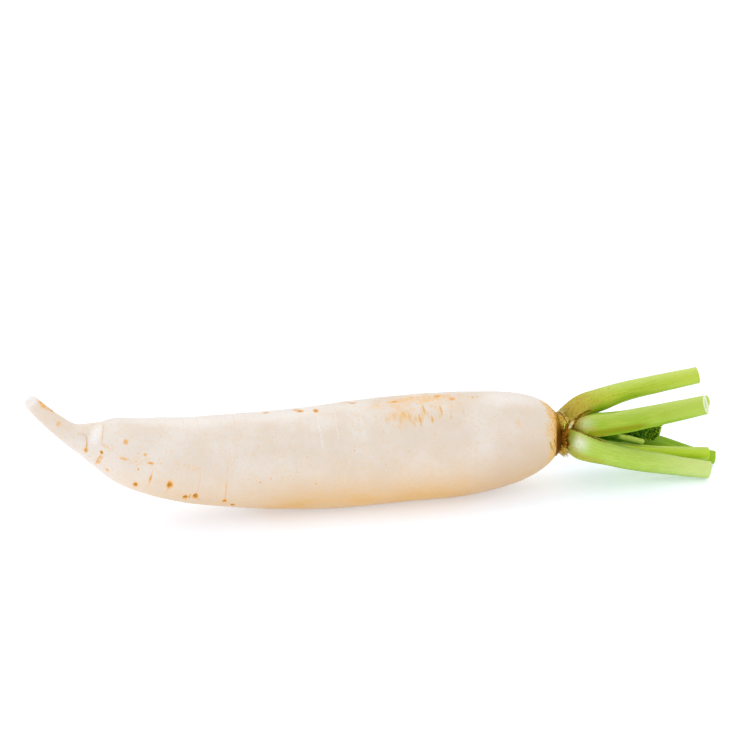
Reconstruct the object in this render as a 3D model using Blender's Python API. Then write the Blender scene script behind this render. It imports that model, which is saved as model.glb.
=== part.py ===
"""A daikon radish with its leaf stalks cut short, lying on its side as it rests on a table.

The root lies along X, its tail at -X and its crown at +X. It rests on a flat spot of its belly, where the
flesh settles on the table, and the ends of two low leaf stalks come down almost to the table. The origin is
under the middle of the whole plant, on the table. Lengths in the tables below are millimetres, and angles
run round the root's axis: 0 degrees is +Y, 90 degrees is up.
"""

import random
from math import cos, exp, pi, radians, sin

import bmesh
import bpy
from mathutils import Vector

MM = 0.001
UP = Vector((0, 0, 1))
GAP = 0.3  # clearance between neighbouring pieces
SHARP_ANGLE = 40  # degrees: edges sharper than this are drawn sharp
TINY_EDGE = 2e-6  # metres: edges shorter than this are merged after a cut

# ---- the root: x, y, z of its axis and its radius, from the broken tail to the shoulder
ROOT_AXIS = [
    (-215.4, 12.0, 76.2, 4.0),
    (-204.1, 7.8, 65.1, 5.1),
    (-192.8, 4.6, 56.0, 6.6),
    (-181.0, 2.0, 51.0, 11.1),
    (-168.0, 0.4, 47.2, 18.1),
    (-149.0, -0.6, 41.1, 22.5),
    (-120.0, -1.0, 35.1, 25.8),
    (-60.0, -0.8, 31.0, 29.6),
    (-30.0, -0.4, 30.6, 31.2),
    (0.0, 0.0, 31.1, 31.8),
    (30.0, 0.2, 31.3, 31.8),
    (49.0, 0.2, 31.5, 30.4),
    (68.0, 0.1, 32.5, 27.5),
    (78.0, 0.0, 33.0, 24.6),
    (85.0, 0.0, 33.1, 21.5),
    (90.2, 0.0, 33.0, 18.1),
    (94.2, 0.0, 32.8, 14.3),
]
NECK_RADIUS = 10.8
CROWN = Vector((95.4, 0.0, 32.7))  # centre of the recess where the neck starts
# steps of the crown past the shoulder: distance along X from CROWN, and radius
CROWN_STEPS = [
    (0.0, 12.7),
    (0.4, 11.2),
    (3.6, NECK_RADIUS),
    (6.0, NECK_RADIUS - 0.9),
    (9.0, 7.4),
    (12.0, 4.4),
    (14.0, 2.3),
]
TAIL_CUT = (0.8, 3.3)  # the snapped end: how far it stands out, and its radius
ROOT_SIDES = 36
RING_STEP = 7.0
MERGE_RINGS = 1.6
LUMP_LONG = (0.008, 17.0, 1.6)  # slow swellings: share of the radius, length along the axis, lean
LUMP_OVAL = (0.010, 29.0)  # share of the radius and length along the axis of the slow turn of its oval
LUMPS_FADE = 12.0  # the swellings die out over this length before the shoulder
PRESS = 0.6  # skin nearer to the table than this is pressed flat on it

# ---- side-root creases: two opposite rows that twist slowly round the root
CREASES = 13
CREASE_FIRST, CREASE_STEP, CREASE_STRAY = 42.0, 20.5, 6.0
CREASE_WIDTH, CREASE_DEPTH, CREASE_SHALLOWEST = 1.5, 0.55, 0.6
CREASE_TURN = (38, 75)  # degrees: least and most half span of a crease round the root
ROW_ANGLE, ROW_TWIST = 205.0, 0.36  # degrees at the first crease, and degrees per millimetre
ROW_STRAY = 22  # degrees

# ---- leaf stalks
# path: middle line from the crown to the cut end.  faces: angle that the outer side looks towards.
# base, end: width where the stalk starts and where it is cut.  bulge: swelling just past the base.
# sheath: width that the clasping base adds.  thin: thickness of that base.
# ratio: thickness to width past it.
STALK_SIDES = 18
STALK_STEP = 5.5
STALK_LEAST_STEPS = 8
BASE_CROWDING = 1.25  # rings crowd towards the base, where the form changes fastest
BULGE_AT, BULGE_LENGTH = 10.0, 10.0
SHEATH_LENGTH = 8.0
CLASP_LENGTH, CLASP_RADIUS = 9.0, 11.0  # the base is a crescent bent round the neck, and then straightens
CHANNEL_DEPTH, CHANNEL_WIDTH = 0.22, 0.45  # shallow channel of the inner side: shares of thickness and width
STALKS = {
    "leaf_stalk_top": {
        "path": [
            (102.8, 0.2, 41.0),
            (107.4, 1.2, 45.4),
            (113.4, 2.4, 48.6),
            (124.0, 4.0, 51.0),
            (143.0, 6.0, 54.0),
            (187.2, 10.0, 58.5),
        ],
        "faces": 114, "base": 13.6, "end": 10.6, "bulge": 0.8, "sheath": 6.0, "thin": 4.8, "ratio": 0.92,
    },
    "leaf_stalk_front_low": {
        "path": [
            (99.2, -7.6, 29.8),
            (107.0, -10.6, 27.6),
            (122.0, -12.0, 22.8),
            (141.0, -12.5, 16.7),
            (165.0, -12.0, 10.4),
            (189.6, -14.8, 5.9),
        ],
        "faces": 200, "base": 16.8, "end": 11.3, "bulge": 2.2, "sheath": -1.0, "thin": 5.2, "ratio": 0.88,
    },
    "leaf_stalk_back_high": {
        "path": [
            (99.0, 7.8, 36.4),
            (108.0, 8.8, 36.9),
            (124.0, 7.0, 34.9),
            (141.0, 6.4, 34.9),
            (170.0, 8.4, 36.5),
            (196.4, 11.6, 39.4),
        ],
        "faces": 20, "base": 12.6, "end": 9.2, "bulge": 1.6, "sheath": 3.0, "thin": 4.4, "ratio": 0.82,
    },
    "leaf_stalk_back_low": {
        "path": [
            (99.0, 4.6, 26.9),
            (108.0, 7.8, 25.0),
            (124.0, 11.5, 24.4),
            (140.0, 12.1, 22.6),
            (166.0, 10.6, 14.8),
            (188.0, 7.8, 6.8),
            (200.8, 5.2, 4.4),
        ],
        "faces": 300, "base": 13.4, "end": 8.6, "bulge": 1.6, "sheath": 2.0, "thin": 4.8, "ratio": 0.86,
    },
    "leaf_stalk_front_middle": {
        "path": [
            (106.6, -1.2, 36.0),
            (111.2, -5.8, 38.0),
            (118.0, -10.0, 39.9),
            (136.8, -15.8, 43.6),
            (178.6, -31.0, 56.6),
        ],
        "faces": 168, "base": 14.6, "end": 11.4, "bulge": 0.4, "sheath": -6.5, "thin": 6.6, "ratio": 0.88,
    },
    "leaf_stalk_inner_low": {
        "path": [
            (103.0, 0.0, 28.4),
            (112.0, 0.2, 25.0),
            (124.0, 0.4, 20.6),
            (142.0, 0.4, 16.5),
            (163.0, 0.2, 13.7),
            (192.8, -4.4, 12.2),
        ],
        "faces": 265, "base": 9.4, "end": 8.4, "bulge": 0.8, "sheath": -2.0, "thin": 5.4, "ratio": 0.95,
    },
    "leaf_stalk_young": {
        "path": [
            (103.6, -0.4, 33.0),
            (120.0, -0.4, 30.6),
            (138.8, 0.0, 26.1),
            (151.8, 0.0, 21.8),
        ],
        "faces": 240, "base": 4.0, "end": 3.5, "bulge": 0.3, "sheath": 0.0, "thin": 2.8, "ratio": 0.95,
    },
}

# ---- collar of dry leaf bases round the neck
COLLAR_SIDES = 44
COLLAR_START, COLLAR_END = 0.8, 5.2  # along X from CROWN
COLLAR_INNER, COLLAR_OUTER, COLLAR_FLARE = 11.35, 12.0, 1.5
COLLAR_RAGGED = (-1.6, 1.4)  # how far the torn edge falls short of or passes the collar's end
COLLAR_UNEVEN = (-0.35, 0.45)  # how far a scale lifts off the round form
SCALES_ROUND, SCALE_LEAN, SCALE_RISE = 11, 0.4, 0.7  # overlapping scales, their slant and how far they rise
COLLAR_OUTSIDE = (0.0, 0.35, 0.7, 1.0)  # shares of the length where the outside has rings
COLLAR_INSIDE = (0.97, 0.5, 0.0)
OUTER_EDGE_ROW = COLLAR_OUTSIDE.index(0.7)  # the band of faces that the fibres grow from
FIBRES = 12
FIBRE_REACH = (1.2, 2.6)
FIBRE_STEPS = ((0.25, 0.45), (1.0, 0.55), (1.0, 0.4))  # shares of the reach and of the width, step by step
FIBRE_DROOP = 0.25

# ---- the scrap of leaf blade left on the back stalk
BLADE_TOP = Vector((150.3, 4.6, 29.5))  # middle of its upper edge, under the stalk
BLADE_LENGTH, BLADE_DEPTH, BLADE_THICK = 26.0, 12.6, 0.8
BLADE_COLUMNS, BLADE_ROWS = 16, 6
BLADE_FIRST_DEPTH = 0.25  # share of the depth at the end nearer to the crown
BLADE_LAST_DEPTH, BLADE_TAPER_FROM = 0.55, 0.62  # share of the depth at the far end, and where it lessens
BLADE_LEAN = -1.3  # how far the cut edge lies back towards the crown
BLADE_CURL = 0.55  # strength of its waves

COLOURS = {
    "root": ((0.86, 0.80, 0.69), 0.42),
    "stalk": ((0.42, 0.58, 0.11), 0.38),
    "young": ((0.50, 0.66, 0.17), 0.38),
    "collar": ((0.29, 0.135, 0.035), 0.9),
    "blade": ((0.045, 0.17, 0.008), 0.5),
}


def clear_scene():
    for obj in list(bpy.data.objects):
        bpy.data.objects.remove(obj)


def turned(radius, angle):
    """A step of that radius across the root's axis, at the angle in degrees."""
    return Vector((0, radius * cos(radians(angle)), radius * sin(radians(angle))))


def material(slot):
    colour, roughness = COLOURS[slot]
    made = bpy.data.materials.get(slot) or bpy.data.materials.new(slot)
    made.use_nodes = True
    shader = made.node_tree.nodes["Principled BSDF"]
    shader.inputs["Base Color"].default_value = (*colour, 1)
    shader.inputs["Roughness"].default_value = roughness
    shader.inputs["Metallic"].default_value = 0.0
    return made


class Spline:
    """A smooth curve through stations of any number of values, the first three of them x, y and z."""

    def __init__(self, stations):
        self.values = [tuple(map(float, s)) for s in stations]
        self.knots = [0.0]
        for a, b in zip(self.values, self.values[1:]):
            self.knots.append(self.knots[-1] + (Vector(b[:3]) - Vector(a[:3])).length)
        last = len(self.values) - 1
        self.slopes = []
        for i in range(last + 1):
            low, high = max(i - 1, 0), min(i + 1, last)
            span = self.knots[high] - self.knots[low]
            self.slopes.append([(q - p) / span for p, q in zip(self.values[low], self.values[high])])
        self.length = self.knots[-1]

    def at(self, distance):
        distance = min(max(distance, 0.0), self.length)
        i = 0
        while i < len(self.knots) - 2 and distance > self.knots[i + 1]:
            i += 1
        step = self.knots[i + 1] - self.knots[i]
        t = (distance - self.knots[i]) / step
        h00, h10 = (1 + 2 * t) * (1 - t) ** 2, t * (1 - t) ** 2 * step
        h01, h11 = t * t * (3 - 2 * t), t * t * (t - 1) * step
        ends = zip(self.values[i], self.slopes[i], self.values[i + 1], self.slopes[i + 1])
        return [h00 * a + h10 * m + h01 * b + h11 * n for a, m, b, n in ends]

    def direction(self, distance):
        before = Vector(self.at(distance - 0.5)[:3])
        after = Vector(self.at(distance + 0.5)[:3])
        return (after - before).normalized()


def mesh_object(name, bm, slot):
    """A smooth-shaded object from a bmesh whose points are in millimetres."""
    bmesh.ops.recalc_face_normals(bm, faces=bm.faces)
    if bm.calc_volume(signed=True) < 0:
        bmesh.ops.reverse_faces(bm, faces=bm.faces)
    bmesh.ops.scale(bm, vec=(MM, MM, MM), verts=bm.verts)
    mesh = bpy.data.meshes.new(name)
    bm.to_mesh(mesh)
    bm.free()
    mesh.materials.append(material(slot))
    mesh.shade_smooth()
    mesh.set_sharp_from_angle(angle=radians(SHARP_ANGLE))
    obj = bpy.data.objects.new(name, mesh)
    bpy.context.scene.collection.objects.link(obj)
    return obj


def loft(rings):
    """A closed bmesh through rings of points, with a flat face over each end."""
    bm = bmesh.new()
    loops = [[bm.verts.new(p) for p in ring] for ring in rings]
    for a, b in zip(loops, loops[1:]):
        for i in range(len(a)):
            j = (i + 1) % len(a)
            bm.faces.new((a[i], a[j], b[j], b[i]))
    bm.faces.new(loops[0])
    bm.faces.new(loops[-1])
    return bm


# ------------------------------------------------------------------ the root


def crease_list():
    """Each crease: distance along the axis, middle angle, half span and depth. Rows alternate sides."""
    draw = random.Random(11)
    found = []
    for i in range(CREASES):
        along = CREASE_FIRST + CREASE_STEP * i + draw.uniform(-CREASE_STRAY, CREASE_STRAY)
        angle = ROW_ANGLE + ROW_TWIST * (along - CREASE_FIRST) + 180 * (i % 2)
        angle += draw.uniform(-ROW_STRAY, ROW_STRAY)
        span = draw.uniform(*CREASE_TURN)
        depth = CREASE_DEPTH * draw.uniform(CREASE_SHALLOWEST, 1.0)
        found.append((along, radians(angle), radians(span), depth))
    return found


def relief(along, angle, radius, creases):
    """How far the skin stands off the plain round form: slow lumps, less the creases."""
    long_share, long_length, long_lean = LUMP_LONG
    oval_share, oval_length = LUMP_OVAL
    lumps = long_share * radius * sin(along / long_length + long_lean * sin(angle))
    lumps += oval_share * radius * sin(2 * angle + along / oval_length)
    dent = 0.0
    for where, middle, span, depth in creases:
        across = 1 - abs(along - where) / CREASE_WIDTH
        turn = abs((angle - middle + pi) % (2 * pi) - pi) / span
        if across > 0 and turn < 1:
            dent += depth * across * (1 - turn * turn) ** 2
    return lumps - dent


def ring_places(length, creases):
    """Even rings, and three at each crease so that the mesh holds its groove."""
    held = [crease[0] for crease in creases if crease[0] < length - LUMPS_FADE]
    exact = [where + step for where in held for step in (-CREASE_WIDTH, 0, CREASE_WIDTH)]
    count = round(length / RING_STEP)
    even = [length * i / count for i in range(count + 1)]
    kept = [e for e in even if all(abs(e - x) > MERGE_RINGS for x in exact) or e in (0.0, length)]
    return sorted(exact + kept)


def root_rings(grow=0.0):
    axis = Spline(ROOT_AXIS)
    creases = crease_list()
    turns = [2 * pi * i / ROOT_SIDES for i in range(ROOT_SIDES)]
    rings = []
    for along in ring_places(axis.length, creases):
        x, y, z, radius = axis.at(along)
        ahead = axis.direction(along)
        up = (UP - ahead * ahead.dot(UP)).normalized()
        side = up.cross(ahead)
        fade = min(1.0, (axis.length - along) / LUMPS_FADE)
        ring = []
        for turn in turns:
            reach = radius + grow + fade * relief(along, turn, radius, creases)
            ring.append(Vector((x, y, z)) + reach * (cos(turn) * side + sin(turn) * up))
        rings.append(ring)
        if along == 0.0:
            tip = Vector((x, y, z)) - ahead * (TAIL_CUT[0] + grow)
            small = TAIL_CUT[1] + grow
            rings.insert(0, [tip + small * (cos(t) * side + sin(t) * up) for t in turns])
    for step, radius in CROWN_STEPS:
        last = step == CROWN_STEPS[-1][0]
        middle = CROWN + Vector((step + (grow if last else 0), 0, 0))
        rings.append([middle + (radius + grow) * Vector((0, cos(t), sin(t))) for t in turns])
    return rings


def rest_on_table(rings):
    """Presses the belly flat where the skin comes near the table or would reach below it."""
    for ring in rings:
        for point in ring:
            if point.z < PRESS:
                point.z = 0.0
    return rings


def build_root():
    return mesh_object("root", loft(rest_on_table(root_rings())), "root")


# ------------------------------------------------------------------ leaf stalks


def stalk_rings(spec, grow=0.0):
    """Rings of one leaf stalk: a thin crescent that clasps the crown, which swells and then turns round."""
    path = Spline(spec["path"])
    outward = turned(1.0, spec["faces"])
    count = max(STALK_LEAST_STEPS, round(path.length / STALK_STEP))
    rings = []
    for i in range(count + 1):
        along = path.length * (i / count) ** BASE_CROWDING
        middle, ahead = Vector(path.at(along)), path.direction(along)
        out = (outward - ahead * ahead.dot(outward)).normalized()
        across = ahead.cross(out)
        share = along / path.length
        bulge = spec["bulge"] * exp(-(((along - BULGE_AT) / BULGE_LENGTH) ** 2))
        sheath = spec["sheath"] * exp(-((along / SHEATH_LENGTH) ** 2))
        plain_width = spec["base"] + (spec["end"] - spec["base"]) * share
        width = plain_width + bulge + sheath
        round_thick = spec["ratio"] * plain_width
        clasp = exp(-((along / CLASP_LENGTH) ** 2))
        thick = round_thick + (spec["thin"] - round_thick) * clasp
        half_w, half_t = width / 2 + grow, thick / 2 + grow
        ring = []
        for k in range(STALK_SIDES):
            turn = 2 * pi * k / STALK_SIDES
            sideways, radial = half_w * cos(turn), half_t * sin(turn)
            if radial < 0:
                radial *= 1 - CHANNEL_DEPTH * exp(-((cos(turn) / CHANNEL_WIDTH) ** 2))
            radial -= clasp * sideways * sideways / (2 * CLASP_RADIUS)
            ring.append(middle + sideways * across + radial * out)
        rings.append(ring)
    return rings


def solid_of(rings):
    """A hidden helper object for a Boolean."""
    helper = mesh_object("helper", loft(rings), "root")
    helper.hide_render = True
    helper.display_type = "WIRE"
    return helper


def keep_largest(bm):
    """Drops the loose scraps that a cut leaves."""
    left, islands = set(bm.verts), []
    while left:
        stack, island = [left.pop()], set()
        while stack:
            vert = stack.pop()
            island.add(vert)
            near = {edge.other_vert(vert) for edge in vert.link_edges} & left
            left -= near
            stack.extend(near)
        islands.append(island)
    islands.sort(key=len)
    loose = [v for island in islands[:-1] for v in island]
    bmesh.ops.delete(bm, geom=loose, context="VERTS")


def cut_back(obj, grown_rings):
    """Cuts the object clear of pieces given by their rings, each already grown by the gap."""
    for rings in grown_rings:
        cutter = solid_of(rings)
        cut = obj.modifiers.new("clear", "BOOLEAN")
        cut.operation = "DIFFERENCE"
        cut.object = cutter
        bpy.context.view_layer.update()
        graph = bpy.context.evaluated_depsgraph_get()
        mesh = bpy.data.meshes.new_from_object(obj.evaluated_get(graph))
        obj.modifiers.remove(cut)
        bpy.data.objects.remove(cutter)
        bm = bmesh.new()
        bm.from_mesh(mesh)
        keep_largest(bm)
        bmesh.ops.dissolve_degenerate(bm, dist=TINY_EDGE, edges=bm.edges)
        bm.to_mesh(mesh)
        bm.free()
        obj.data = mesh


def build_stalks():
    """The stalks in the order of their list, each cut clear of the root and of those before it."""
    made, done = [], [root_rings(GAP)]
    for name, spec in STALKS.items():
        stalk = mesh_object(name, loft(stalk_rings(spec)), "young" if "young" in name else "stalk")
        cut_back(stalk, done)
        done.append(stalk_rings(spec, GAP))
        made.append(stalk)
    return made, done[1:]


# ------------------------------------------------------------------ collar of dry leaf bases


def build_collar():
    """A ragged sleeve of overlapping dry scales round the neck, with loose fibres at its outer edge."""
    draw = random.Random(5)
    edge = [draw.uniform(*COLLAR_RAGGED) for _ in range(COLLAR_SIDES)]
    rise = [draw.uniform(*COLLAR_UNEVEN) for _ in range(COLLAR_SIDES)]

    def point(k, share, radius):
        end = COLLAR_END + edge[k]
        along = COLLAR_START + (end - COLLAR_START) * share
        return CROWN + Vector((along, 0, 0)) + turned(radius, 360 * k / COLLAR_SIDES)

    def outer(k, share):
        scale = (SCALES_ROUND * k / COLLAR_SIDES + SCALE_LEAN * share) % 1.0
        lift = SCALE_RISE * (scale - 0.4) * (0.3 + share) + rise[k] * share
        return COLLAR_OUTER + COLLAR_FLARE * share ** 1.5 + lift

    sides = range(COLLAR_SIDES)
    rings = [[point(k, share, outer(k, share)) for k in sides] for share in COLLAR_OUTSIDE]
    rings += [[point(k, share, COLLAR_INNER) for k in sides] for share in COLLAR_INSIDE]
    bm = bmesh.new()
    loops = [[bm.verts.new(p) for p in ring] for ring in rings]
    quads = {}
    for row, (a, b) in enumerate(zip(loops, loops[1:] + loops[:1])):
        for i in sides:
            j = (i + 1) % COLLAR_SIDES
            quads[row, i] = bm.faces.new((a[i], a[j], b[j], b[i]))
    bmesh.ops.recalc_face_normals(bm, faces=bm.faces)
    add_fibres(bm, quads, draw)
    return mesh_object("leaf_base_collar", bm, "collar")


def add_fibres(bm, quads, draw):
    """Draws faces of the collar's outer edge out into thin tapering fibres."""
    spots = sorted(draw.sample(range(0, COLLAR_SIDES, 2), FIBRES))
    for i in spots:
        face = quads[OUTER_EDGE_ROW, i]
        outward = Vector((0.0, *(face.calc_center_median() - CROWN).yz)).normalized()
        lean = Vector((draw.uniform(0.1, 0.9), 0, 0)) + outward * draw.uniform(0.5, 1.0) - UP * FIBRE_DROOP
        reach = draw.uniform(*FIBRE_REACH)
        for step, shrink in FIBRE_STEPS:
            made = bmesh.ops.extrude_discrete_faces(bm, faces=[face])["faces"][0]
            middle = made.calc_center_median()
            for vert in made.verts:
                vert.co = middle + (vert.co - middle) * shrink + lean * reach * step
            face = made


# ------------------------------------------------------------------ scrap of leaf blade


def blade_point(u, v):
    """Middle surface of the leaf scrap: u runs along its stalk, v hangs from the stalk to the cut edge."""
    lobes = 0.86 + 0.08 * sin(5.2 * pi * u) + 0.06 * sin(17 * pi * u + 1)
    taper = max(0.0, (u - BLADE_TAPER_FROM) / (1 - BLADE_TAPER_FROM))
    body = min(1.0, BLADE_FIRST_DEPTH + 0.95 * u) * (1 - (1 - BLADE_LAST_DEPTH) * taper ** 1.5)
    wave = 1.5 * sin(2.3 * pi * u + 0.6) * v + 0.9 * sin(6 * pi * u) * v * v
    notches = 1.1 * sin(9 * pi * v) * (u - 0.5)
    along = BLADE_LENGTH * (u - 0.5) + notches + BLADE_LEAN * v
    return BLADE_TOP + Vector((along, BLADE_CURL * wave - 0.8 * v, -BLADE_DEPTH * v * lobes * body))


def blade_mesh(point, columns, rows, thick):
    """A thin closed blade round a middle surface, split into the same triangles on both faces."""
    bm = bmesh.new()
    faces = {}
    for side in (1, -1):
        for i in range(columns + 1):
            for j in range(rows + 1):
                u, v = i / columns, j / rows
                du = point(min(u + 0.01, 1), v) - point(max(u - 0.01, 0), v)
                dv = point(u, min(v + 0.01, 1)) - point(u, max(v - 0.01, 0))
                normal = du.cross(dv).normalized()
                faces[side, i, j] = bm.verts.new(point(u, v) + normal * (side * thick / 2))
    for i in range(columns):
        for j in range(rows):
            for side in (1, -1):
                a, b = faces[side, i, j], faces[side, i + 1, j]
                c, d = faces[side, i + 1, j + 1], faces[side, i, j + 1]
                bm.faces.new((a, b, c))
                bm.faces.new((a, c, d))
    border = [(i, 0) for i in range(columns)] + [(columns, j) for j in range(rows)]
    border += [(i, rows) for i in range(columns, 0, -1)] + [(0, j) for j in range(rows, 0, -1)]
    for (i, j), (m, n) in zip(border, border[1:] + border[:1]):
        a, b = faces[1, i, j], faces[1, m, n]
        c, d = faces[-1, m, n], faces[-1, i, j]
        bm.faces.new((a, b, c))
        bm.faces.new((a, c, d))
    return bm


def build_blade():
    bm = blade_mesh(blade_point, BLADE_COLUMNS, BLADE_ROWS, BLADE_THICK)
    return mesh_object("leaf_blade_scrap", bm, "blade")


# ------------------------------------------------------------------ the whole plant


def centre_on_origin(objects):
    """Hangs every piece on one empty, placed so that the plant's box stands on the origin."""
    bpy.context.view_layer.update()
    corners = [obj.matrix_world @ Vector(c) for obj in objects for c in obj.bound_box]
    plant = bpy.data.objects.new("plant", None)
    bpy.context.scene.collection.objects.link(plant)
    for obj in objects:
        obj.parent = plant
    middle = [(min(c[i] for c in corners) + max(c[i] for c in corners)) / 2 for i in (0, 1)]
    plant.location = (-middle[0], -middle[1], 0)


def main():
    clear_scene()
    stalks, grown = build_stalks()
    collar = build_collar()
    cut_back(collar, grown)
    centre_on_origin([build_root(), *stalks, collar, build_blade()])


main()
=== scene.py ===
"""Looks of the daikon radish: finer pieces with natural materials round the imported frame.

Each piece repeats the named values of the part's source, in millimetres, before the source centres the
plant on the origin. make_piece() then moves it to where the frame has it. Angles run round the root's axis:
0 degrees is +Y, 90 degrees is up, 180 degrees is the front and 270 degrees is the belly.
"""

import random
from functools import partial
from math import cos, exp, pi, radians, sin

import bmesh
import bpy
import numpy as np
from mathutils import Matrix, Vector, noise


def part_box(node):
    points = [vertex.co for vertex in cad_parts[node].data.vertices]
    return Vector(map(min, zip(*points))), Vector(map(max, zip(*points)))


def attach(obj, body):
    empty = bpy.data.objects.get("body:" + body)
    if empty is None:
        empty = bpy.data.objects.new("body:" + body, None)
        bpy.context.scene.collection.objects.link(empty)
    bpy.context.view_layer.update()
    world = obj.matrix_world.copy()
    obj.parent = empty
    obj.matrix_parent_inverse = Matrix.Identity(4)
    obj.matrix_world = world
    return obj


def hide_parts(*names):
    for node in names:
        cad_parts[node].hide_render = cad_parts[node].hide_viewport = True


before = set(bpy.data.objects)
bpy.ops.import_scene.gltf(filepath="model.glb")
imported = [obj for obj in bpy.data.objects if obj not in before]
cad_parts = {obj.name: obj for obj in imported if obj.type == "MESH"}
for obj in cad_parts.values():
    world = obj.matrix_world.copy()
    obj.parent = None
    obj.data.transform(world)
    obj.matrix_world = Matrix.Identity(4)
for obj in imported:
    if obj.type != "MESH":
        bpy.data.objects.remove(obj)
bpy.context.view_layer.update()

MM = 0.001
UP = Vector((0, 0, 1))

# ---- named values shared with the part

ROOT_AXIS = [
    (-215.4, 12, 76.2, 4), (-204.1, 7.8, 65.1, 5.1), (-192.8, 4.6, 56, 6.6), (-181, 2, 51, 11.1),
    (-168, 0.4, 47.2, 18.1), (-149, -0.6, 41.1, 22.5), (-120, -1, 35.1, 25.8), (-60, -0.8, 31, 29.6),
    (-30, -0.4, 30.6, 31.2), (0, 0, 31.1, 31.8), (30, 0.2, 31.3, 31.8), (49, 0.2, 31.5, 30.4),
    (68, 0.1, 32.5, 27.5), (78, 0, 33, 24.6), (85, 0, 33.1, 21.5), (90.2, 0, 33, 18.1),
    (94.2, 0, 32.8, 14.3),
]
NECK_RADIUS = 10.8
CROWN = Vector((95.4, 0.0, 32.7))
CROWN_STEPS = [
    (-0.7, 13.9), (-0.2, 13.3), (0.1, 12.4), (0.4, 11.4), (1.4, 11),
    (2.5, NECK_RADIUS),
    (3.6, NECK_RADIUS),
    (4.8, 10.5), (6, 9.9), (7.5, 8.8), (9, 7.4), (10.5, 6), (12, 4.4), (13.2, 3.2), (14, 2.3),
]
TAIL_TIP = [(0.95, 0.6), (0.9, 1.8), (0.7, 2.9), (0.3, 3.7)]  # how far out, and radius
LUMP_LONG = (0.008, 17.0, 1.6)
LUMP_OVAL = (0.010, 29.0)
LUMPS_FADE = 12.0
PRESS = 0.6

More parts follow.
